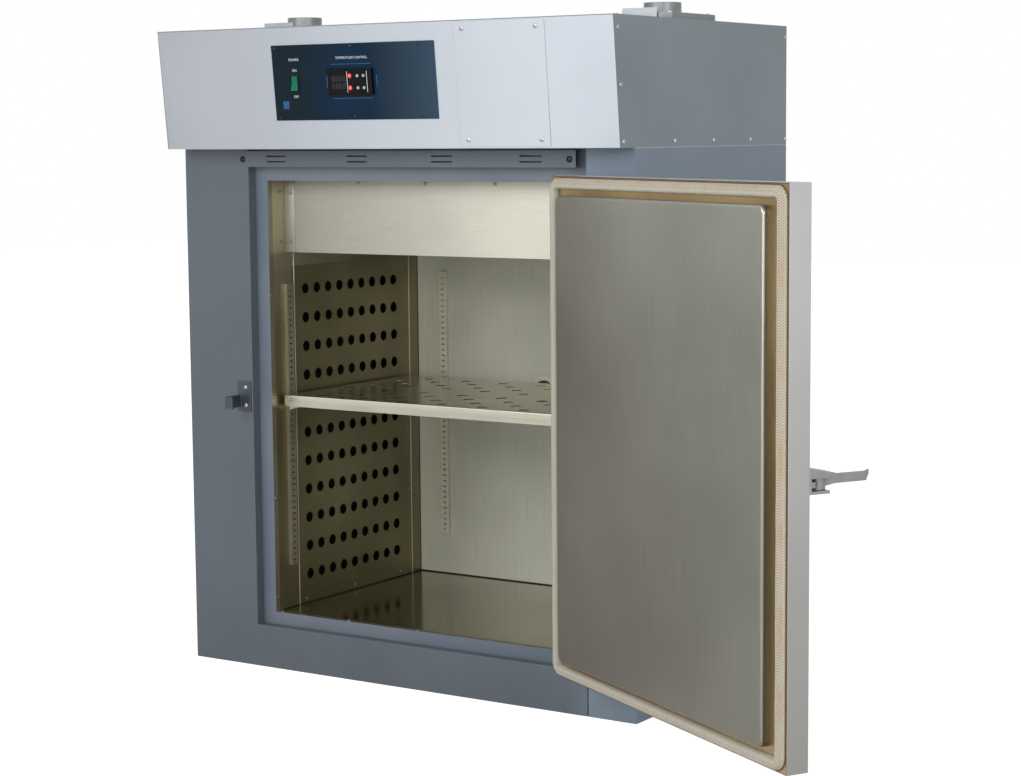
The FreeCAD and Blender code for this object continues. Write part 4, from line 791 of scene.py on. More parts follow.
def from_curve(curve: bpy.types.Curve, place: Matrix) -> Mesh:
    """Turns a curve into a mesh with whole rims and removes the curve.

    Args:
        curve: A filled and thickened curve, or a text.
        place: Where the mesh goes.

    Returns:
        The mesh.
    """
    holder = bpy.data.objects.new(curve.name, curve)
    mesh = bpy.data.meshes.new_from_object(holder)
    bpy.data.objects.remove(holder)
    bpy.data.curves.remove(curve)
    mesh.transform(place)
    work = bmesh.new()
    work.from_mesh(mesh)
    bpy.data.meshes.remove(mesh)
    return welded(work, "from_curve", weld=0.000002)


def ring_skin(work: BMesh, rings: Sequence[Sequence[BMVert]], closed: bool = False) -> None:
    """Joins rings of vertices, one after the other, with four-sided faces.

    Args:
        work: The bmesh that holds them.
        rings: Rings of equal count.
        closed: Whether the last ring joins the first. Otherwise both ends are capped.
    """
    count = len(rings)
    for index in range(count if closed else count - 1):
        here, following = rings[index], rings[(index + 1) % count]
        for step in range(len(here)):
            after = (step + 1) % len(here)
            work.faces.new((here[step], here[after], following[after], following[step]))
    if not closed:
        work.faces.new(rings[-1])
        work.faces.new(list(reversed(rings[0])))


def facing(normal: Sequence[float], seat: Sequence[float]) -> Matrix:
    """Gives a place at a point whose z axis looks along a direction."""
    return Matrix.Translation(seat) @ Vector(normal).to_track_quat("Z", "Y").to_matrix().to_4x4()


def pierced_sheet(outline: Sequence[Flat], holes: Iterable[Flat], radius: float, gauge: float) -> Mesh:
    """Makes a flat sheet with round holes, lying on z = 0.

    Args:
        outline: The sheet's corners.
        holes: The centre of each hole.
        radius: The radius of the holes.
        gauge: The sheet's thickness.

    Returns:
        The sheet's mesh.
    """
    curve = bpy.data.curves.new("pierced_sheet", "CURVE")
    curve.dimensions = "2D"
    curve.fill_mode = "BOTH"
    curve.extrude = gauge / 2
    sides = 28
    turns = [math.tau * step / sides for step in range(sides)]
    loops = [outline] + [[(across + radius * math.cos(turn), up + radius * math.sin(turn)) for turn in turns]
                         for across, up in holes]
    for loop in loops:
        spline = curve.splines.new("POLY")
        spline.points.add(len(loop) - 1)
        for point, (across, up) in zip(spline.points, loop):
            point.co = (across, up, 0.0, 1.0)
        spline.use_cyclic_u = True
    return from_curve(curve, Matrix())


def lettering(text: str, size: float, place: Matrix) -> Mesh:
    """Makes printed letters as a thin mesh, centred on a place.

    Args:
        text: The words.
        size: The height of the letters' line.
        place: Where their middle goes; x runs along the line and y up.

    Returns:
        The letters' mesh.
    """
    curve = bpy.data.curves.new("lettering", "FONT")
    curve.body = text
    curve.size = size
    curve.align_x = curve.align_y = "CENTER"
    curve.extrude = INK_DEPTH
    return from_curve(curve, place)


def plates(boxes: Iterable[tuple[Spot, Spot]], round_by: float) -> BMesh:
    """Makes plates or bars between pairs of corners, with rounded edges.

    Args:
        boxes: The lowest and highest corner of each.
        round_by: The radius of their edges.

    Returns:
        A bmesh with all of them.
    """
    work = bmesh.new()
    for low, high in boxes:
        size = Vector(high) - Vector(low)
        place = Matrix.Translation((Vector(low) + Vector(high)) / 2) @ Matrix.Diagonal((*size, 1.0))
        corners = bmesh.ops.create_cube(work, size=1.0, matrix=place)["verts"]
        edges = list({edge for vertex in corners for edge in vertex.link_edges})
        bmesh.ops.bevel(work, geom=edges, offset=round_by, segments=2, profile=0.5, affect="EDGES")
    return work


class Recess(Enum):
    """What is cut in the middle of a turned head."""

    CROSS = 4
    HEXAGON = 6
    NONE = 0


@dataclass(frozen=True)
class TurnedHead:
    """A domed head with a cross or hexagon recess, its seat at z = 0."""

    radius: float
    height: float
    recess: Recess = Recess.CROSS
    washer: float = 0.0
    sides: int = 24

    def mesh(self) -> Mesh:
        """Turns the head's profile and cuts its recess.

        Returns:
            The head's mesh.
        """
        radius, height = self.radius, self.height
        washer_thick, recess_wide, recess_foot, recess_deep = 0.18, 0.44, 0.36, 0.5
        profile = [(1.0, 0.0), (1.0, 0.32), (0.95, 0.58), (0.82, 0.82), (0.62, 0.95), (0.5, 1.0)]
        rings = [(radius * across, height * up, False) for across, up in profile]
        if self.washer:
            wide, thin = self.washer, height * washer_thick
            rings = [(wide, 0.0, False), (wide, thin, False), (radius, thin, False)] + [
                (across, up + thin, flag) for across, up, flag in rings[1:]]
        top = rings[-1][1]
        if self.recess is not Recess.NONE:
            rings += [(radius * recess_wide, top, True),
                      (radius * recess_foot, top - height * recess_deep, True)]
        work = bmesh.new()
        turns = [math.tau * step / self.sides for step in range(self.sides)]
        skin = []
        for across, up, shaped in rings:
            reaches = [across * (self._recess_share(turn) if shaped else 1.0) for turn in turns]
            skin.append([work.verts.new((reach * math.cos(turn), reach * math.sin(turn), up))
                         for reach, turn in zip(reaches, turns)])
        ring_skin(work, skin)
        return welded(work, "turned_head")

    def _recess_share(self, turn: float) -> float:
        """Gives how far the recess reaches at an angle, as a share of its radius.

        Args:
            turn: The angle in radians.

        Returns:
            The share.
        """
        if self.recess is Recess.CROSS:
            arm, power = 0.7, 1.5
            return 1 - arm + arm * abs(math.cos(2 * turn)) ** power
        sixth = math.tau / 6
        return math.cos(sixth / 2) / math.cos((turn % sixth) - sixth / 2)


@dataclass
class SubAssembly:
    """A part of the oven, which dresses its CAD nodes and adds finer pieces.

    Each coat is a finish, the width that edges are rounded by, and the nodes that it goes on.
    """

    frame: Mapping
    finishes: Mapping[str, Material]
    coats: ClassVar[tuple[tuple[str, float, str], ...]] = ()

    def dress(self) -> None:
        """Gives the CAD nodes their finishes, and rounds their edges for the render."""
        for finish, soften, nodes in self.coats:
            for name in nodes.split():
                node = self.frame["nodes"][name]
                node.data.materials.clear()
                node.data.materials.append(self.finishes[finish])
                if soften:
                    node.modifiers.new("weld", "WELD").merge_threshold = 0.00002
                    bevel = node.modifiers.new("rounded_edges", "BEVEL")
                    bevel.width = soften
                    bevel.segments = 2
                    bevel.limit_method = "ANGLE"
                    bevel.angle_limit = math.radians(40)
                    bevel.use_clamp_overlap = True
                    node.modifiers.new("flat_faces", "WEIGHTED_NORMAL").keep_sharp = False
                LOG.info("dressed %s", name)

    def build(self) -> None:
        """Adds the finer pieces."""

    def add(self, name: str, mesh: Mesh | BMesh, slot: str, finish: str, body: str = "cabinet",
            smooth: float = 30.0) -> bpy.types.Object:
        """Puts a piece in the scene on its body.

        Args:
            name: The piece's name.
            mesh: Its mesh or bmesh, in the frame's axes.
            slot: The record's material slot; not used.
            finish: Its finish.
            body: The body that it rides on.
            smooth: The angle in degrees under which edges are shaded smooth.

        Returns:
            The new object.
        """
        if isinstance(mesh, BMesh):
            mesh = welded(mesh, name)
        made = bpy.data.objects.new(name, mesh)
        bpy.context.scene.collection.objects.link(made)
        mesh.name = name
        mesh.materials.clear()
        mesh.materials.append(self.finishes[finish])
        mesh.shade_smooth()
        mesh.set_sharp_from_angle(angle=math.radians(smooth))
        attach(made, body)
        LOG.info("made %s on %s", name, body)
        return made

    def add_heads(self, name: str, head: TurnedHead, places: Iterable[Matrix], slot: str, finish: str,
                  body: str = "cabinet") -> bpy.types.Object:
        """Puts the same turned head at each place, as one piece.

        Args:
            name: The piece's name.
            head: The head.
            places: Where each copy goes.
            slot: The record's material slot.
            finish: Its finish.
            body: The body that they ride on.

        Returns:
            The new object.
        """
        work = bmesh.new()
        mesh = head.mesh()
        for place in places:
            start = len(work.verts)
            work.from_mesh(mesh)
            work.verts.ensure_lookup_table()
            bmesh.ops.transform(work, matrix=place, verts=work.verts[start:])
        return self.add(name, work, slot, finish, body)

    def box_in(self, node: str, place: Matrix) -> Box:
        """Measures a node in the axes of a turned place."""
        inverse = place.inverted()
        return extent([inverse @ vertex.co for vertex in self.frame["nodes"][node].data.vertices])

    def loose_boxes(self, node: str) -> list[Box]:
        """Measures each separate solid of a node.

        Args:
            node: The node's name.

        Returns:
            The lowest and highest corner of each.
        """
        work = bmesh.new()
        work.from_mesh(self.frame["nodes"][node].data)
        bmesh.ops.remove_doubles(work, verts=work.verts[:], dist=0.00001)
        waiting = set(work.verts)
        found = []
        while waiting:
            border = [waiting.pop()]
            members = []
            while border:
                vertex = border.pop()
                members.append(vertex.co.copy())
                reached = {edge.other_vert(vertex) for edge in vertex.link_edges} & waiting
                waiting -= reached
                border += reached
            found.append(extent(members))
        work.free()
        return sorted(found, key=lambda box: tuple(box[0]))


@dataclass
class Cabinet(SubAssembly):
    """The enamelled body with its strip over the door and its bolts."""

    bolt_width: float = 0.011
    coats = (("slate_enamel", 0.0012, "front_frame header_strip"),
             ("side_enamel", 0.0012, "side_panel_left side_panel_right"),
             ("lipped_enamel", 0, "door_frame"),
             ("zinc_sheet", 0, "back_panel top_deck base_pan"),
             ("mineral_wool", 0, "insulation"))

    def build(self) -> None:
        """Puts turned heads where the frame has plain bolts."""
        bolts, screws = [], []
        for low, high in self.loose_boxes("front_bolts"):
            seat = ((low.x + high.x) / 2, high.y, (low.z + high.z) / 2)
            (bolts if high.z - low.z > self.bolt_width else screws).append(facing((0, -1, 0), seat))
        head = TurnedHead(0.0058, 0.0032, Recess.HEXAGON, washer=0.0066)
        made = self.add_heads("header_bolts", head, bolts, "bright_steel", "dark_screw_steel")
        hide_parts("front_bolts")
        self.add_heads("strike_screws", TurnedHead(0.0046, 0.0022), screws, "bright_steel", "screw_steel")


@dataclass
class Hood(SubAssembly):
    """The overhanging hood with its leaning front, cover plate and screws."""

    fascia: Matrix
    screw_reach: float = 0.0011
    coats = (("pale_enamel", 0.0012, "hood_front access_cover"),
             ("hood_enamel", 0.0012, "hood_end_left hood_end_right"),
             ("hood_enamel", 0, "hood_cover"),
             ("zinc_sheet", 0, "electrical_chassis"),
             ("black_plastic", 0, "inlet_gland"))

    def build(self) -> None:
        """Puts turned screws where the frame has plain heads."""
        places = []
        for low, high in self.loose_boxes("hood_screws"):
            centre = (low + high) / 2
            size = high - low
            if size.x < size.y:
                outward = Vector((math.copysign(1.0, centre.x), 0, 0))
                seat = centre - outward * size.x / 2
            else:
                outward = (self.fascia.to_3x3() @ Vector((0, -1, 0))).normalized()
                seat = centre - outward * self.screw_reach
            places.append(facing(outward, seat))
        made = self.add_heads("hood_screw_heads", TurnedHead(0.0046, 0.0022), places, "bright_steel",
                              "screw_steel")
        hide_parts("hood_screws")


@dataclass
class ControlPanel(SubAssembly):
    """Print, lamps, digits and small screws on the controls, placed on the leaning front."""

    fascia: Matrix
    switch: Flat = (-0.198, 0.132)
    title: Flat = (-0.052, 0.1815)
    screw_in: float = 0.006
    left_screw_in: float = 0.009
    right_screw_in: float = 0.036
    middle_screw: float = -0.053
    lamp_rows: Flat = (0.146, 0.122)
    lamp_column: float = -0.0535
    trim_columns: Flat = (-0.0605, -0.0115)
    digit_in: Flat = (0.0065, 0.0105)
    digit_pitch: Flat = (0.009, 0.0145)
    marker: Flat = (-0.2258, 0.089)
    pad: Flat = (0.0075, 0.008)
    label_size: float = 0.0075
    title_size: float = 0.0068
    label_rises: tuple[float, float, float] = (0.048, 0.0265, -0.0265)
    coats = (("printed_overlay", 0.0005, "control_panel"),
             ("black_plastic", 0.0005, "switch_body"),
             ("rocker_plastic", 0.0008, "power_rocker"),
             ("bezel_plastic", 0.0006, "controller_case"),
             ("tinted_window", 0, "controller_display"),
             ("key_plastic", 0.0004, "controller_key_1 controller_key_2 controller_key_3 controller_key_4"))

    def on_fascia(self, across: float, up: float, out: float) -> Matrix:
        """Gives a place on the leaning front, and out of it, whose x runs across and y up."""
        return self.fascia @ Matrix.Translation((across, -out, up)) @ Matrix.Rotation(math.pi / 2, 4, "X")

    def build(self) -> None:
        """Makes the print, lamps, digits and screws."""
        low, high = self.box_in("control_panel", self.fascia)
        case = self.box_in("controller_case", self.fascia)
        self._words(-low.y)
        self._print(case, -low.y)
        rows = high.z - self.screw_in, low.z + self.screw_in
        columns = low.x + self.left_screw_in, self.middle_screw, high.x - self.right_screw_in
        places = [self.on_fascia(across, up, -low.y) for up, across in product(rows, columns)]
        self.add_heads("panel_screws", TurnedHead(0.0034, 0.0014), places, "panel_navy", "dark_screw_steel")
        self._controller(case)

    def _lay(self, name: str, boxes: Iterable[tuple[Flat, Flat]], level: float, slot: str, finish: str,
             gauge: float = INK_DEPTH) -> None:
        """Lays thin rounded bars on the leaning front, as one piece.

        Args:
            name: The piece's name.
            boxes: The lowest and highest corner of each, across and up.
            level: How far out of the leaning front they lie.
            slot: The record's material slot.
            finish: Their finish.
            gauge: Their thickness.
        """
        bars = [((left, -level - gauge, foot), (right, -level, top)) for (left, foot), (right, top) in boxes]
        work = plates(bars, gauge / 3)
        bmesh.ops.transform(work, matrix=self.fascia, verts=work.verts[:])
        self.add(name, work, slot, finish)

    def _words(self, face: float) -> None:
        """Prints the generic words by the switch and over the controller.

        Args:
            face: How far out of the leaning front the overlay's face is.
        """
        across, up = self.switch
        words = [(text, self.label_size, across, up + rise)
                 for text, rise in zip(("POWER", "ON", "OFF"), self.label_rises)]
        words.append(("TEMPERATURE CONTROL", self.title_size, *self.title))
        for text, size, x, z in words:
            name = "print_" + text.lower().replace(" ", "_")
            self.add(name, lettering(text, size, self.on_fascia(x, z, face)), "panel_navy", "pale_ink")

    def _print(self, case: Box, face: float) -> None:
        """Prints the lines and marks round the controller, and sets the small blue lamp on its pad.

        Args:
            case: The controller's box on the leaning front.
            face: How far out of the leaning front the overlay's face is.
        """
        low, high = case
        thick, line_in, below, above = 0.0011, 0.006, 0.0075, 0.0085
        lines = [((low.x + line_in, up), (high.x - line_in, up + thick))
                 for up in (low.z - below, high.z + above)]
        self._lay("printed_lines", lines, face, "panel_navy", "teal_ink")
        middle = (low.z + high.z) / 2
        wide, half, to_left, to_right = 0.0022, 0.0125, 0.0075, 0.0065
        marks = [((x, middle - half), (x + wide, middle + half))
                 for x in (low.x - to_left, high.x + to_right)]
        self._lay("printed_side_marks", marks, face, "panel_navy", "blue_ink")
        across, up = self.marker
        wide, tall = self.pad
        self._lay("pilot_pad", [((across - wide, up - tall), (across + wide, up + tall))], face,
                  "panel_navy", "blue_ink")
        self.add_heads("pilot_lamp", TurnedHead(0.0030, 0.0012, Recess.NONE),
                       [self.on_fascia(across, up, face)], "panel_navy", "blue_lamp")

    def _controller(self, case: Box) -> None:
        """Makes the lamps, the unlit digits and the pale frame lines on the controller's face.

        Args:
            case: The controller's box on the leaning front.
        """
        low, high = case
        places = [self.on_fascia(self.lamp_column, up, -low.y) for up in self.lamp_rows]
        self.add_heads("controller_lamps", TurnedHead(0.0046, 0.0022, Recess.NONE), places, "display_glass",
                       "red_lamp")
        half, end_in, gauge = 0.0006, 0.005, 0.0004
        trim = [((x - half, low.z + end_in), (x + half, high.z - end_in)) for x in self.trim_columns]
        self._lay("controller_trim", trim, -low.y, "display_glass", "pale_ink", gauge)
        pane_low, pane_high = self.box_in("controller_display", self.fascia)
        digits = bmesh.new()
        for row, column in product(range(2), range(4)):
            across = pane_low.x + self.digit_in[0] + column * self.digit_pitch[0]
            up = pane_high.z - self.digit_in[1] - row * self.digit_pitch[1]
            self._digit(digits, across, up, -pane_low.y)
        bmesh.ops.transform(digits, matrix=self.fascia, verts=digits.verts[:])
        self.add("unlit_digits", digits, "display_glass", "ghost_segment")

    def _digit(self, work: BMesh, across: float, up: float, out: float) -> None:
        """Adds the seven pointed bars of one digit.

        Args:
            work: The bmesh that they go into.
            across: The digit's middle across.
            up: The digit's middle upwards.
            out: How far out of the leaning front the pane is.
        """
        half_width, half_height, thick, raised = 0.0026, 0.0048, 0.0006, 0.00008
        corners = [Vector((x, z)) for z in (half_height, 0, -half_height) for x in (-half_width, half_width)]
        for first, second in ((0, 1), (1, 3), (3, 2), (2, 0), (2, 4), (4, 5), (5, 3)):
            start, end = corners[first], corners[second]
            along = (end - start).normalized()
            side = Vector((-along.y, along.x)) * thick
            tips = [start + along * thick, start + along * 2 * thick + side, end - along * 2 * thick + side,
                    end - along * thick, end - along * 2 * thick - side, start + along * 2 * thick - side]
            back, front = ([work.verts.new((across + tip.x, -out - lift, up + tip.y)) for tip in tips]
                           for lift in (0.0, raised))
            ring_skin(work, (back, front))


@dataclass
class Chamber(SubAssembly):
    """The lined room with its pierced side panels, plenum, strips, blower and heater.

    A row of screws is given by its first place and its pitch.
    """

    hole_radius: float = 0.0115
    hole_first: Flat = (-0.172, 0.181)
    hole_pitch: Flat = (0.04025, 0.0626)
    hole_count: tuple[int, int] = (9, 11)
    wall_gap: float = 0.0003
    lip_screw_row: Flat = (0.1465, 0.2175)
    rear_screw_row: Flat = (0.148, 0.171)
    low_screw_row: Flat = (-0.187, 0.175)
    low_screw_level: float = 0.1285
    cover_screw_depth: float = -0.253
    rear_screw_depth: float = 0.2015
    lip_screw_in: float = 0.0075
    flange_screw_in: float = 0.0205
    cover_screw_levels: Flat = (0.9125, 1.0175)
    flange_screw_levels: Flat = (0.9137, 1.0154)
    plenum_screw_level: float = 1.0362
    sill_screw_pitch: float = 0.179
    plenum_screw_pitch: float = 0.1712
    flange: float = 0.029
    flange_gauge: float = 0.001
    rear_wall: float = 0.246
    seam_in: float = 0.012
    edge_depths: Flat = (-0.2115, 0.2093)
    coats = (("floor_steel", 0, "liner_floor"),
             ("cavity_steel", 0, "liner_sides"),
             ("duct_steel", 0, "liner_ceiling"),
             ("surround_steel", 0, "duct_frames"),
             ("rear_steel", 0, "liner_back"),
             ("plenum_steel", 0.001, "plenum_cover"),
             ("plenum_steel", 0, "plenum_baffle"),
             ("front_strip_steel", 0, "shelf_strips_front"),
             ("strip_steel", 0, "shelf_strips_rear shelf_clips port_sleeve"),
             ("screw_steel", 0, "heater_elements"),
             ("zinc_sheet", 0, "blower_wheel"),
             ("motor_casting", 0, "blower_motor"),
             ("silicone", 0.0015, "port_plug"))

    def build(self) -> None:
        """Makes the pierced panels, the plenum's flanges, the edges, the seams and the screws."""
        low, high = (Vector(corner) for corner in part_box("plenum_cover"))
        walls = low.x - self.wall_gap, high.x + self.wall_gap
        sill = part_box("liner_floor")[1][2]
        for side in ("left", "right"):
            self._panel(side)
        thin = self.flange_gauge
        flanges = [((x, low.y - thin, low.z), (x + self.flange, low.y, high.z))
                   for x in (low.x, high.x - self.flange)]
        self.add("plenum_flanges", plates(flanges, thin * 0.4), "chamber_steel", "plenum_steel")
        self._edges(walls, sill, low.z)
        self._seams(walls, sill, low.z)
        self._screws(walls, sill, low.y)

    def _panel(self, side: str) -> None:
        """Replaces a side panel by one with round holes.

        Args:
            side: The side, left or right.
        """
        node = "duct_panel_" + side
        low, high = (Vector(corner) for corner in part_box(node))
        outline = [(low.y, low.z), (high.y, low.z), (high.y, high.z), (low.y, high.z)]
        (first_y, first_z), (pitch_y, pitch_z) = self.hole_first, self.hole_pitch
        holes = [(first_y + pitch_y * column, first_z + pitch_z * row)
                 for column, row in product(*map(range, self.hole_count))]
        upright = Matrix(((0, 0, 1, (low.x + high.x) / 2), (1, 0, 0, 0), (0, 1, 0, 0), (0, 0, 0, 1)))
        mesh = pierced_sheet(outline, holes, self.hole_radius, high.x - low.x)
        mesh.transform(upright)
        made = self.add("pierced_panel_" + side, mesh, "chamber_steel", "duct_steel")
        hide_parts(node)

    def _edges(self, walls: Flat, sill: float, top: float) -> None:
        """Folds a narrow edge up beside each pierced panel, in the pale strip steel as a painted highlight
        along the fold.

        Args:
            walls: Where the left and right wall are.
            sill: The floor's level.
            top: The level of the plenum's foot.
        """
        left, right = walls
        proud, half = 0.0012, 0.0012
        spans = ((left, left + proud), (right - proud, right))
        boxes = [((start, deep - half, sill), (end, deep + half, top))
                 for deep, (start, end) in product(self.edge_depths, spans)]
        self.add("panel_edges", plates(boxes, proud * 0.4), "chamber_steel", "strip_steel")

    def _seams(self, walls: Flat, sill: float, top: float) -> None:
        """Runs the dark joint where the walls stand on the floor and meet each other; its darkness is partly
        the seam and partly painted shade in the corner.

        Args:
            walls: Where the left and right wall are.
            sill: The floor's level.
            top: The level of the plenum's foot.
        """
        left, right = walls
        front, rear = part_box("door_frame")[1][1] + self.seam_in, self.rear_wall
        thin, wide = 0.0006, 0.0026
        boxes = [((left, rear - thin, sill), (right, rear, sill + wide))]
        for inner, outer in ((left, left + thin), (right - thin, right)):
            boxes += [((inner, front, sill), (outer, rear - thin, sill + wide)),
                      ((inner, rear - wide, sill + wide), (outer, rear - thin, top))]
        self.add("corner_seams", plates(boxes, thin * 0.3), "chamber_steel", "corner_seam")

    def _screws(self, walls: Flat, sill: float, face: float) -> None:
        """Sets the screws of the lip, sill, plenum and side panels.

        Args:
            walls: Where the left and right wall are.
            sill: The floor's level.
            face: The depth of the plenum's front.
        """
        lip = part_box("door_frame")[0][1] + self.lip_screw_in
        middle = sum(walls) / 2

        def along(row: Flat, count: int) -> list[float]:
            """Gives the places of a row."""
            return [row[0] + row[1] * step for step in range(count)]

        spots = [*((lip, up) for up in along(self.lip_screw_row, 4)),
                 *((self.cover_screw_depth, up) for up in self.cover_screw_levels),
                 *((self.rear_screw_depth, up) for up in along(self.rear_screw_row, 5)),
                 *((deep, self.low_screw_level) for deep in along(self.low_screw_row, 3))]
        places = [facing((inward, 0, 0), (wall, *spot))
                  for wall, inward in zip(walls, (1, -1)) for spot in spots]
        for step in range(-2, 3):
            across = middle + step * self.plenum_screw_pitch
            places.append(facing((0, 0, 1), (middle + step * self.sill_screw_pitch, lip, sill)))
            places.append(facing((0, -1, 0), (across, face, self.plenum_screw_level)))
        columns = walls[0] + self.flange_screw_in, walls[1] - self.flange_screw_in
        for across, up in product(columns, self.flange_screw_levels):
            places.append(facing((0, -1, 0), (across, face - self.flange_gauge, up)))
        self.add_heads("chamber_screws", TurnedHead(0.0038, 0.0018), places, "chamber_steel", "fixing_steel")


@dataclass
class Shelf(SubAssembly):
    """The pierced tray on its four clips."""

    gauge: float = 0.0015
    web: float = 0.0014
    bend: float = 0.003
    hole_radius: float = 0.011
    pitch: float = 0.1
    columns: int = 7
    pattern_shift: float = 0.010
    first_row: float = 0.022
    row_pitch: float = 0.049
    block_pitch: float = 0.233

    def build(self) -> None:
        """Makes the tray with rounded folds and round holes."""
        low, high = (Vector(corner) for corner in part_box("shelf"))
        bend = self.bend
        outline = [(low.x + bend, low.y + bend), (high.x - bend, low.y + bend),
                   (high.x - bend, high.y - bend), (low.x + bend, high.y - bend)]
        first = (low.x + high.x) / 2 + self.pattern_shift - self.pitch / 4 - self.pitch * 3
        holes = []
        for block, row in product(range(2), range(4)):
            across = first + self.pitch / 2 if (row + block) % 2 == 0 else first
            deep = low.y + self.first_row + self.block_pitch * block + self.row_pitch * row
            holes += [(across + self.pitch * column, deep) for column in range(self.columns)]
        mesh = pierced_sheet(outline, holes, self.hole_radius, self.web)
        mesh.transform(Matrix.Translation((0, 0, high.z - self.web / 2)))
        work = bmesh.new()
        work.from_mesh(mesh)
        self._folds(work, low, high)
        made = self.add("shelf_tray", work, "chamber_steel", "shelf_steel", "shelf_tray", 40.0)
        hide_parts("shelf")
        self._shade_rims(made.data, low, high)

    def _shade_rims(self, mesh: Mesh, low: Vector, high: Vector) -> None:
        """Gives the sheared rims of the holes the dark steel, as painted shade.

        Args:
            mesh: The tray's mesh.
            low: The tray's lowest corner.
            high: Its highest corner.
        """
        # Painted shade: the rims take the dark steel.
        mesh.materials.append(self.finishes["cavity_steel"])
        margin = self.bend * 2
        for polygon in mesh.polygons:
            centre = polygon.center
            inside = (low.x + margin < centre.x < high.x - margin
                      and low.y + margin < centre.y < high.y - margin)
            if inside and abs(polygon.normal.z) < 0.5:
                polygon.material_index = 1

    def _folds(self, work: BMesh, low: Vector, high: Vector) -> None:
        """Adds the rounded bend and upright lip round the tray.

        Args:
            work: The bmesh that they go into.
            low: The tray's lowest corner.
            high: Its highest corner.
        """
        steps = 4
        arc = [(1 - math.sin(turn), 1 - math.cos(turn))
               for turn in (math.pi / 2 * step / steps for step in range(steps + 1))]
        inner = self.bend - self.gauge
        section = [(self.bend * x, self.bend * z) for x, z in arc]
        section += [(0.0, high.z - low.z), (self.gauge, high.z - low.z)]
        section += [(self.gauge + inner * x, self.gauge + inner * z) for x, z in reversed(arc)]
        corners = ((low.x, low.y, 1, 1), (high.x, low.y, -1, 1), (high.x, high.y, -1, -1),
                   (low.x, high.y, 1, -1))
        rings = [[work.verts.new((x + along * inset, y + deep * inset, high.z - drop))
                  for inset, drop in section] for x, y, along, deep in corners]
        ring_skin(work, rings, closed=True)


@dataclass
class Door(SubAssembly):
    """The open door with its raised plug, braided gasket and hinges."""

    place: Matrix
    gasket_width: float = 0.020
    corner: float = 0.016
    step: float = 0.006
    girth: int = 14
    yarn_pitch: float = 0.0045
    slack: float = 0.0002
    bead_out: float = 0.0008
    bead_half: float = 0.0011
    bead_height: float = 0.0016
    coats = (("door_enamel", 0.0012, "door_pan"),
             ("margin_steel", 0, "door_inner_sheet"),
             ("plug_steel", 0, "door_plug"),
             ("mineral_wool", 0, "door_insulation"),
             ("zinc_casting", 0, "hinge_cabinet_leaves hinge_door_leaves"))

    def build(self) -> None:
        """Makes the gasket and the dark brown bead along its foot."""
        low, high = self.box_in("door_gasket", self.place)
        half = self.gasket_width / 2
        loop = self._loop(low.x + half, low.z + half, high.x - half, high.z - half)
        rope = self._rope(loop, half - self.slack, high.y - low.y - self.slack, low.y)
        made = self.add("braided_gasket", rope, "gasket", "braided_fibre", "door", 80.0)
        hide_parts("door_gasket")
        outer = half + self.bead_out
        foot = [(point + outward * outer, outward, length) for point, outward, length in loop]
        bead = self._rope(foot, self.bead_half, self.bead_height, low.y, 0.0)
        self.add("gasket_bead", bead, "gasket", "gasket_bead", "door", 80.0)

    def _loop(self, left: float, low: float, right: float, high: float) -> Walk:
        """Walks round a rectangle with round corners.

        Args:
            left: Its left side.
            low: Its lower side.
            right: Its right side.
            high: Its upper side.

        Returns:
            Each point, the direction out of the loop there, and the length walked so far.
        """
        radius = self.corner
        centres = ((right - radius, high - radius), (left + radius, high - radius),
                   (left + radius, low + radius), (right - radius, low + radius))
        count = max(3, round(math.pi * radius / self.step))
        corners = []
        for quarter, (x, z) in enumerate(centres):
            for index in range(count + 1):
                turn = math.radians(90.0 * quarter + 90.0 * index / count)
                outward = Vector((math.cos(turn), 0, math.sin(turn)))
                corners.append((Vector((x, 0, z)) + outward * radius, outward))
        walked = 0.0
        found = []
        for index, (point, outward) in enumerate(corners):
            following, ahead = corners[(index + 1) % len(corners)]
            gap = (following - point).length
            pieces = max(1, round(gap / self.step))
            for piece in range(pieces):
                share = piece / pieces
                found.append((point.lerp(following, share), outward.lerp(ahead, share).normalized(),
                              walked + gap * share))
            walked += gap
        return found

    def _rope(self, loop: Walk, half: float, height: float, base: float, waver: float = 0.0006) -> BMesh:
        """Sweeps a rounded section round a loop and maps its length and girth.

        Args:
            loop: Points, outward directions and lengths.
            half: Half of the section's width.
            height: The section's height.
            base: The level that it lies on.
            waver: How unevenly it lies.

        Returns:
            The rope in the frame's axes.
        """
        flank, crown, swell, droop = 0.7, 0.62, 8, 60
        chance = random.Random(7)
        waves = [(chance.uniform(0.02, 0.09), chance.uniform(0, math.tau)) for _ in range(4)]
        work = bmesh.new()
        chart = work.loops.layers.uv.new("chart")
        rings = []
        for point, outward, length in loop:
            sway = sum(math.sin(length / pitch + phase) for pitch, phase in waves) * waver / 2
            ring = []
            for step in range(self.girth + 1):
                turn = math.pi * step / self.girth
                across = half * math.copysign(abs(math.cos(turn)) ** flank, math.cos(turn))
                up = height * max(0.0, math.sin(turn)) ** crown
                spot = point + outward * (across * (1 + sway * swell))
                ring.append(work.verts.new((spot.x, base + up * (1 - abs(sway) * droop), spot.z)))
            rings.append(ring)
        total = loop[-1][2] + (loop[0][0] - loop[-1][0]).length
        lengths = [length for _, _, length in loop] + [total]
        for index, ring in enumerate(rings):
            following = rings[(index + 1) % len(rings)]
            for step in range(self.girth):
                face = work.faces.new((ring[step], ring[step + 1], following[step + 1], following[step]))
                marks = ((index, step), (index, step + 1), (index + 1, step + 1), (index + 1, step))
                for corner, (row, column) in zip(face.loops, marks):
                    corner[chart].uv = (lengths[row] / self.yarn_pitch, column / self.girth)
            work.faces.new((following[0], following[-1], ring[-1], ring[0]))
        bmesh.ops.transform(work, matrix=self.place, verts=work.verts[:])
        return work


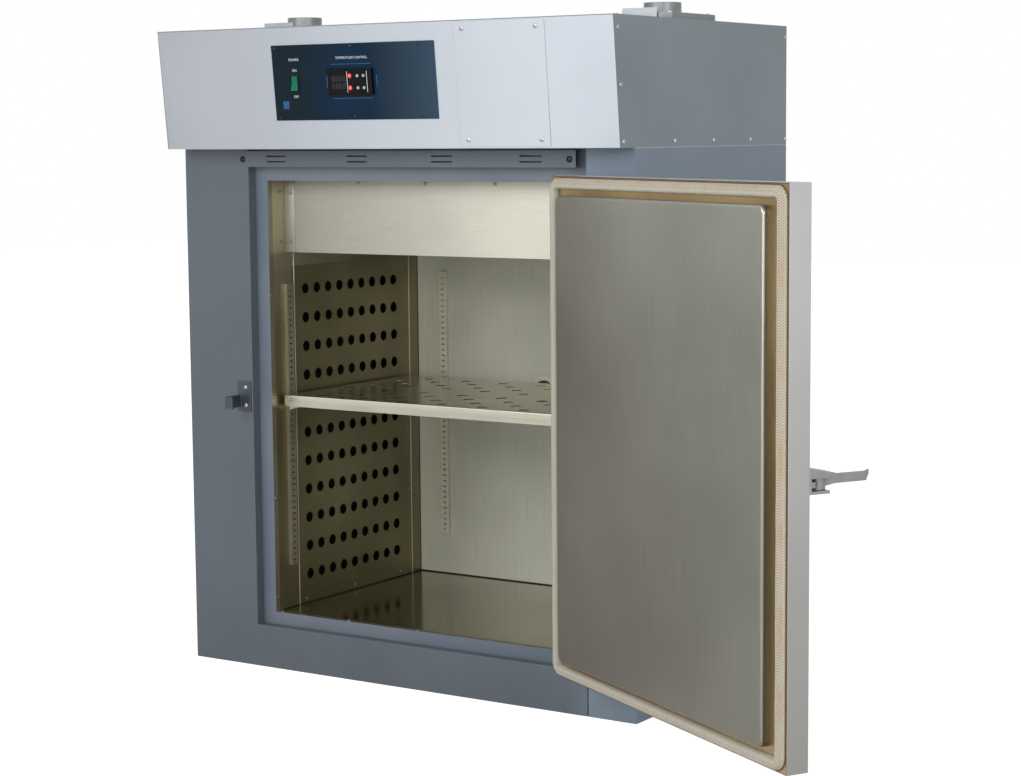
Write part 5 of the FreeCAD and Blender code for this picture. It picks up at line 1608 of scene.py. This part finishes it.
@dataclass
class Latch(SubAssembly):
    """Lever, housing and bolt on the door, and the keeper on the cabinet."""

    place: Matrix
    pin_in: float = 0.012
    coats = (("zinc_casting", 0.0012, "latch_housing latch_lever"),
             ("zinc_casting", 0.0008, "latch_bolt"),
             ("keeper_casting", 0.0008, "latch_strike"))

    def build(self) -> None:
        """Puts a riveted cap on the lever's pin."""
        low = self.box_in("latch_housing", self.place)[0]
        hub_low, hub_high = self.box_in("latch_lever", self.place)
        centre = ((hub_low.x + hub_high.x) / 2, hub_high.y - self.pin_in, low.z)
        place = self.place @ Matrix.Translation(centre) @ Matrix.Rotation(math.pi, 4, "X")
        self.add_heads("lever_rivet", TurnedHead(0.0062, 0.0022, Recess.NONE), [place], "bright_steel",
                       "screw_steel", "door")


@dataclass
class Exhaust(SubAssembly):
    """Two outlet tubes on their housings, with sliding dampers."""

    screw_in: float = 0.011
    collar: float = 0.023
    coats = (("damper_casting", 0.0008, "damper_housing_left damper_housing_right"),
             ("zinc_sheet", 0.0003, "damper_slide_left damper_slide_right"))

    def build(self) -> None:
        """Sets a screw at each corner of both housings."""
        places = []
        for side in ("left", "right"):
            low, high = (Vector(corner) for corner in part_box("damper_housing_" + side))
            spots = product(*((start + self.screw_in, end - self.screw_in)
                              for start, end in ((low.x, high.x), (low.y, high.y))))
            places += [facing((0, 0, 1), (*spot, high.z - self.collar)) for spot in spots]
        self.add_heads("housing_screws", TurnedHead(0.0044, 0.0022), places, "cast_aluminium", "screw_steel")


@dataclass
class Studio:
    """Pale floor, white surround, soft lamps and the camera."""

    eye: Spot = (2.7106, -4.0364, 1.1438)
    yaw: float = 33.25
    pitch: float = 6.48
    roll: float = -0.49
    lens: float = 80.13
    lamps: tuple[tuple[str, Spot, Spot, float, float], ...] = (
        ("key_lamp", (-0.9, -4.6, 2.9), (0.0, 0.0, 0.7), 2.4, 95.0),
        ("fill_lamp", (4.2, -2.4, 2.2), (0.3, 0.0, 0.7), 2.2, 55.0),
        ("front_lamp", (1.6, -4.4, 1.2), (-0.1, 0.1, 0.6), 1.6, 42.0))

    def build(self) -> None:
        """Sets up the floor, the world, the lamps and the camera."""
        bpy.context.scene.view_settings.view_transform = "Standard"
        work = bmesh.new()
        bmesh.ops.create_grid(work, x_segments=8, y_segments=8, size=14.0)
        mesh = welded(work, "studio_floor")
        mesh.materials.append(StudioFloor("studio_floor").make())
        floor = self._place("studio_floor", mesh, Matrix())
        self._world()
        for name, spot, aim, size, power in self.lamps:
            self._lamp(name, spot, aim, size, power)
        self._camera()

    def _place(self, name: str, data: bpy.types.ID, place: Matrix) -> bpy.types.Object:
        """Puts a floor, lamp or camera in the scene.

        Args:
            name: Its name.
            data: Its mesh, lamp or camera data.
            place: Where it stands.

        Returns:
            The new object.
        """
        made = bpy.data.objects.new(name, data)
        made.matrix_world = place
        bpy.context.scene.collection.objects.link(made)
        return made

    def _world(self) -> None:
        """Makes the surround white to the camera and in gloss, and dimmer as a light."""
        world = bpy.data.worlds.new("studio")
        bpy.context.scene.world = world
        world.use_nodes = True
        world.node_tree.nodes.clear()
        graph = ShaderGraph(world.node_tree)
        rays = graph.node("ShaderNodeLightPath").outputs
        seen = graph.math("MAXIMUM", rays["Is Camera Ray"], rays["Is Glossy Ray"])
        seen = graph.math("MAXIMUM", seen, rays["Is Transmission Ray"])
        strength = graph.spread(seen, 0.0, 1.0, 0.55, 1.0)
        sky = graph.node("ShaderNodeBackground", {"Color": WHITE, "Strength": strength})
        graph.node("ShaderNodeOutputWorld", {"Surface": sky.outputs[0]})

    def _lamp(self, name: str, spot: Spot, aim: Spot, size: float, power: float) -> None:
        """Hangs a square soft lamp.

        Args:
            name: Its name.
            spot: Where it hangs.
            aim: What it looks at.
            size: The length of its side.
            power: Its power in watts.
        """
        lamp = bpy.data.lights.new(name, "AREA")
        lamp.shape = "SQUARE"
        lamp.size = size
        lamp.energy = power
        turn = (Vector(aim) - Vector(spot)).to_track_quat("-Z", "Y").to_matrix().to_4x4()
        self._place(name, lamp, Matrix.Translation(spot) @ turn)

    def _camera(self) -> None:
        """Stands the camera at the photograph's viewing angle."""
        yaw, pitch, roll = (math.radians(angle) for angle in (self.yaw, self.pitch, self.roll))
        ahead = Vector((-math.sin(yaw) * math.cos(pitch), math.cos(yaw) * math.cos(pitch), -math.sin(pitch)))
        level = Vector((math.cos(yaw), math.sin(yaw), 0.0))
        upward = level.cross(ahead)
        right = level * math.cos(roll) + upward * math.sin(roll)
        top = upward * math.cos(roll) - level * math.sin(roll)
        lens = bpy.data.cameras.new("camera")
        lens.lens = self.lens
        lens.sensor_width = 36.0
        lens.sensor_fit = "HORIZONTAL"
        lens.clip_end = 60.0
        turn = Matrix((right, top, -ahead)).transposed().to_4x4()
        bpy.context.scene.camera = self._place("camera", lens, Matrix.Translation(self.eye) @ turn)


def main() -> None:
    """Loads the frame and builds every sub-assembly."""
    logging.basicConfig(level=logging.INFO, format="%(name)s: %(message)s")
    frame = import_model()
    hinge = Vector(next(joint["pos_m"] for joint in frame["joints"] if joint["name"] == "door_hinge"))
    door = Matrix.Translation((hinge.x, hinge.y, 0.0)) @ Matrix.Rotation(DOOR_TURN, 4, "Z")
    fascia = Matrix.Translation(FASCIA_FOOT) @ Matrix.Rotation(FASCIA_LEAN, 4, "X")
    case_low, case_high = (Vector(corner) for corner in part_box("controller_case"))
    case = (case_low + case_high) / 2
    controller = (case.x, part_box("control_panel")[0][1], case.z)
    finishes = all_finishes(door, controller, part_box("door_frame")[0][1] + PAINTED_DEPTH)
    given = (frame, finishes)
    for section in (Cabinet(*given), Hood(*given, fascia), ControlPanel(*given, fascia), Chamber(*given),
                    Door(*given, door), Latch(*given, door), Exhaust(*given), Shelf(*given)):
        section.dress()
        section.build()
        LOG.info("finished %s", type(section).__name__)
    Studio().build()


if __name__ == "__main__":
    main()
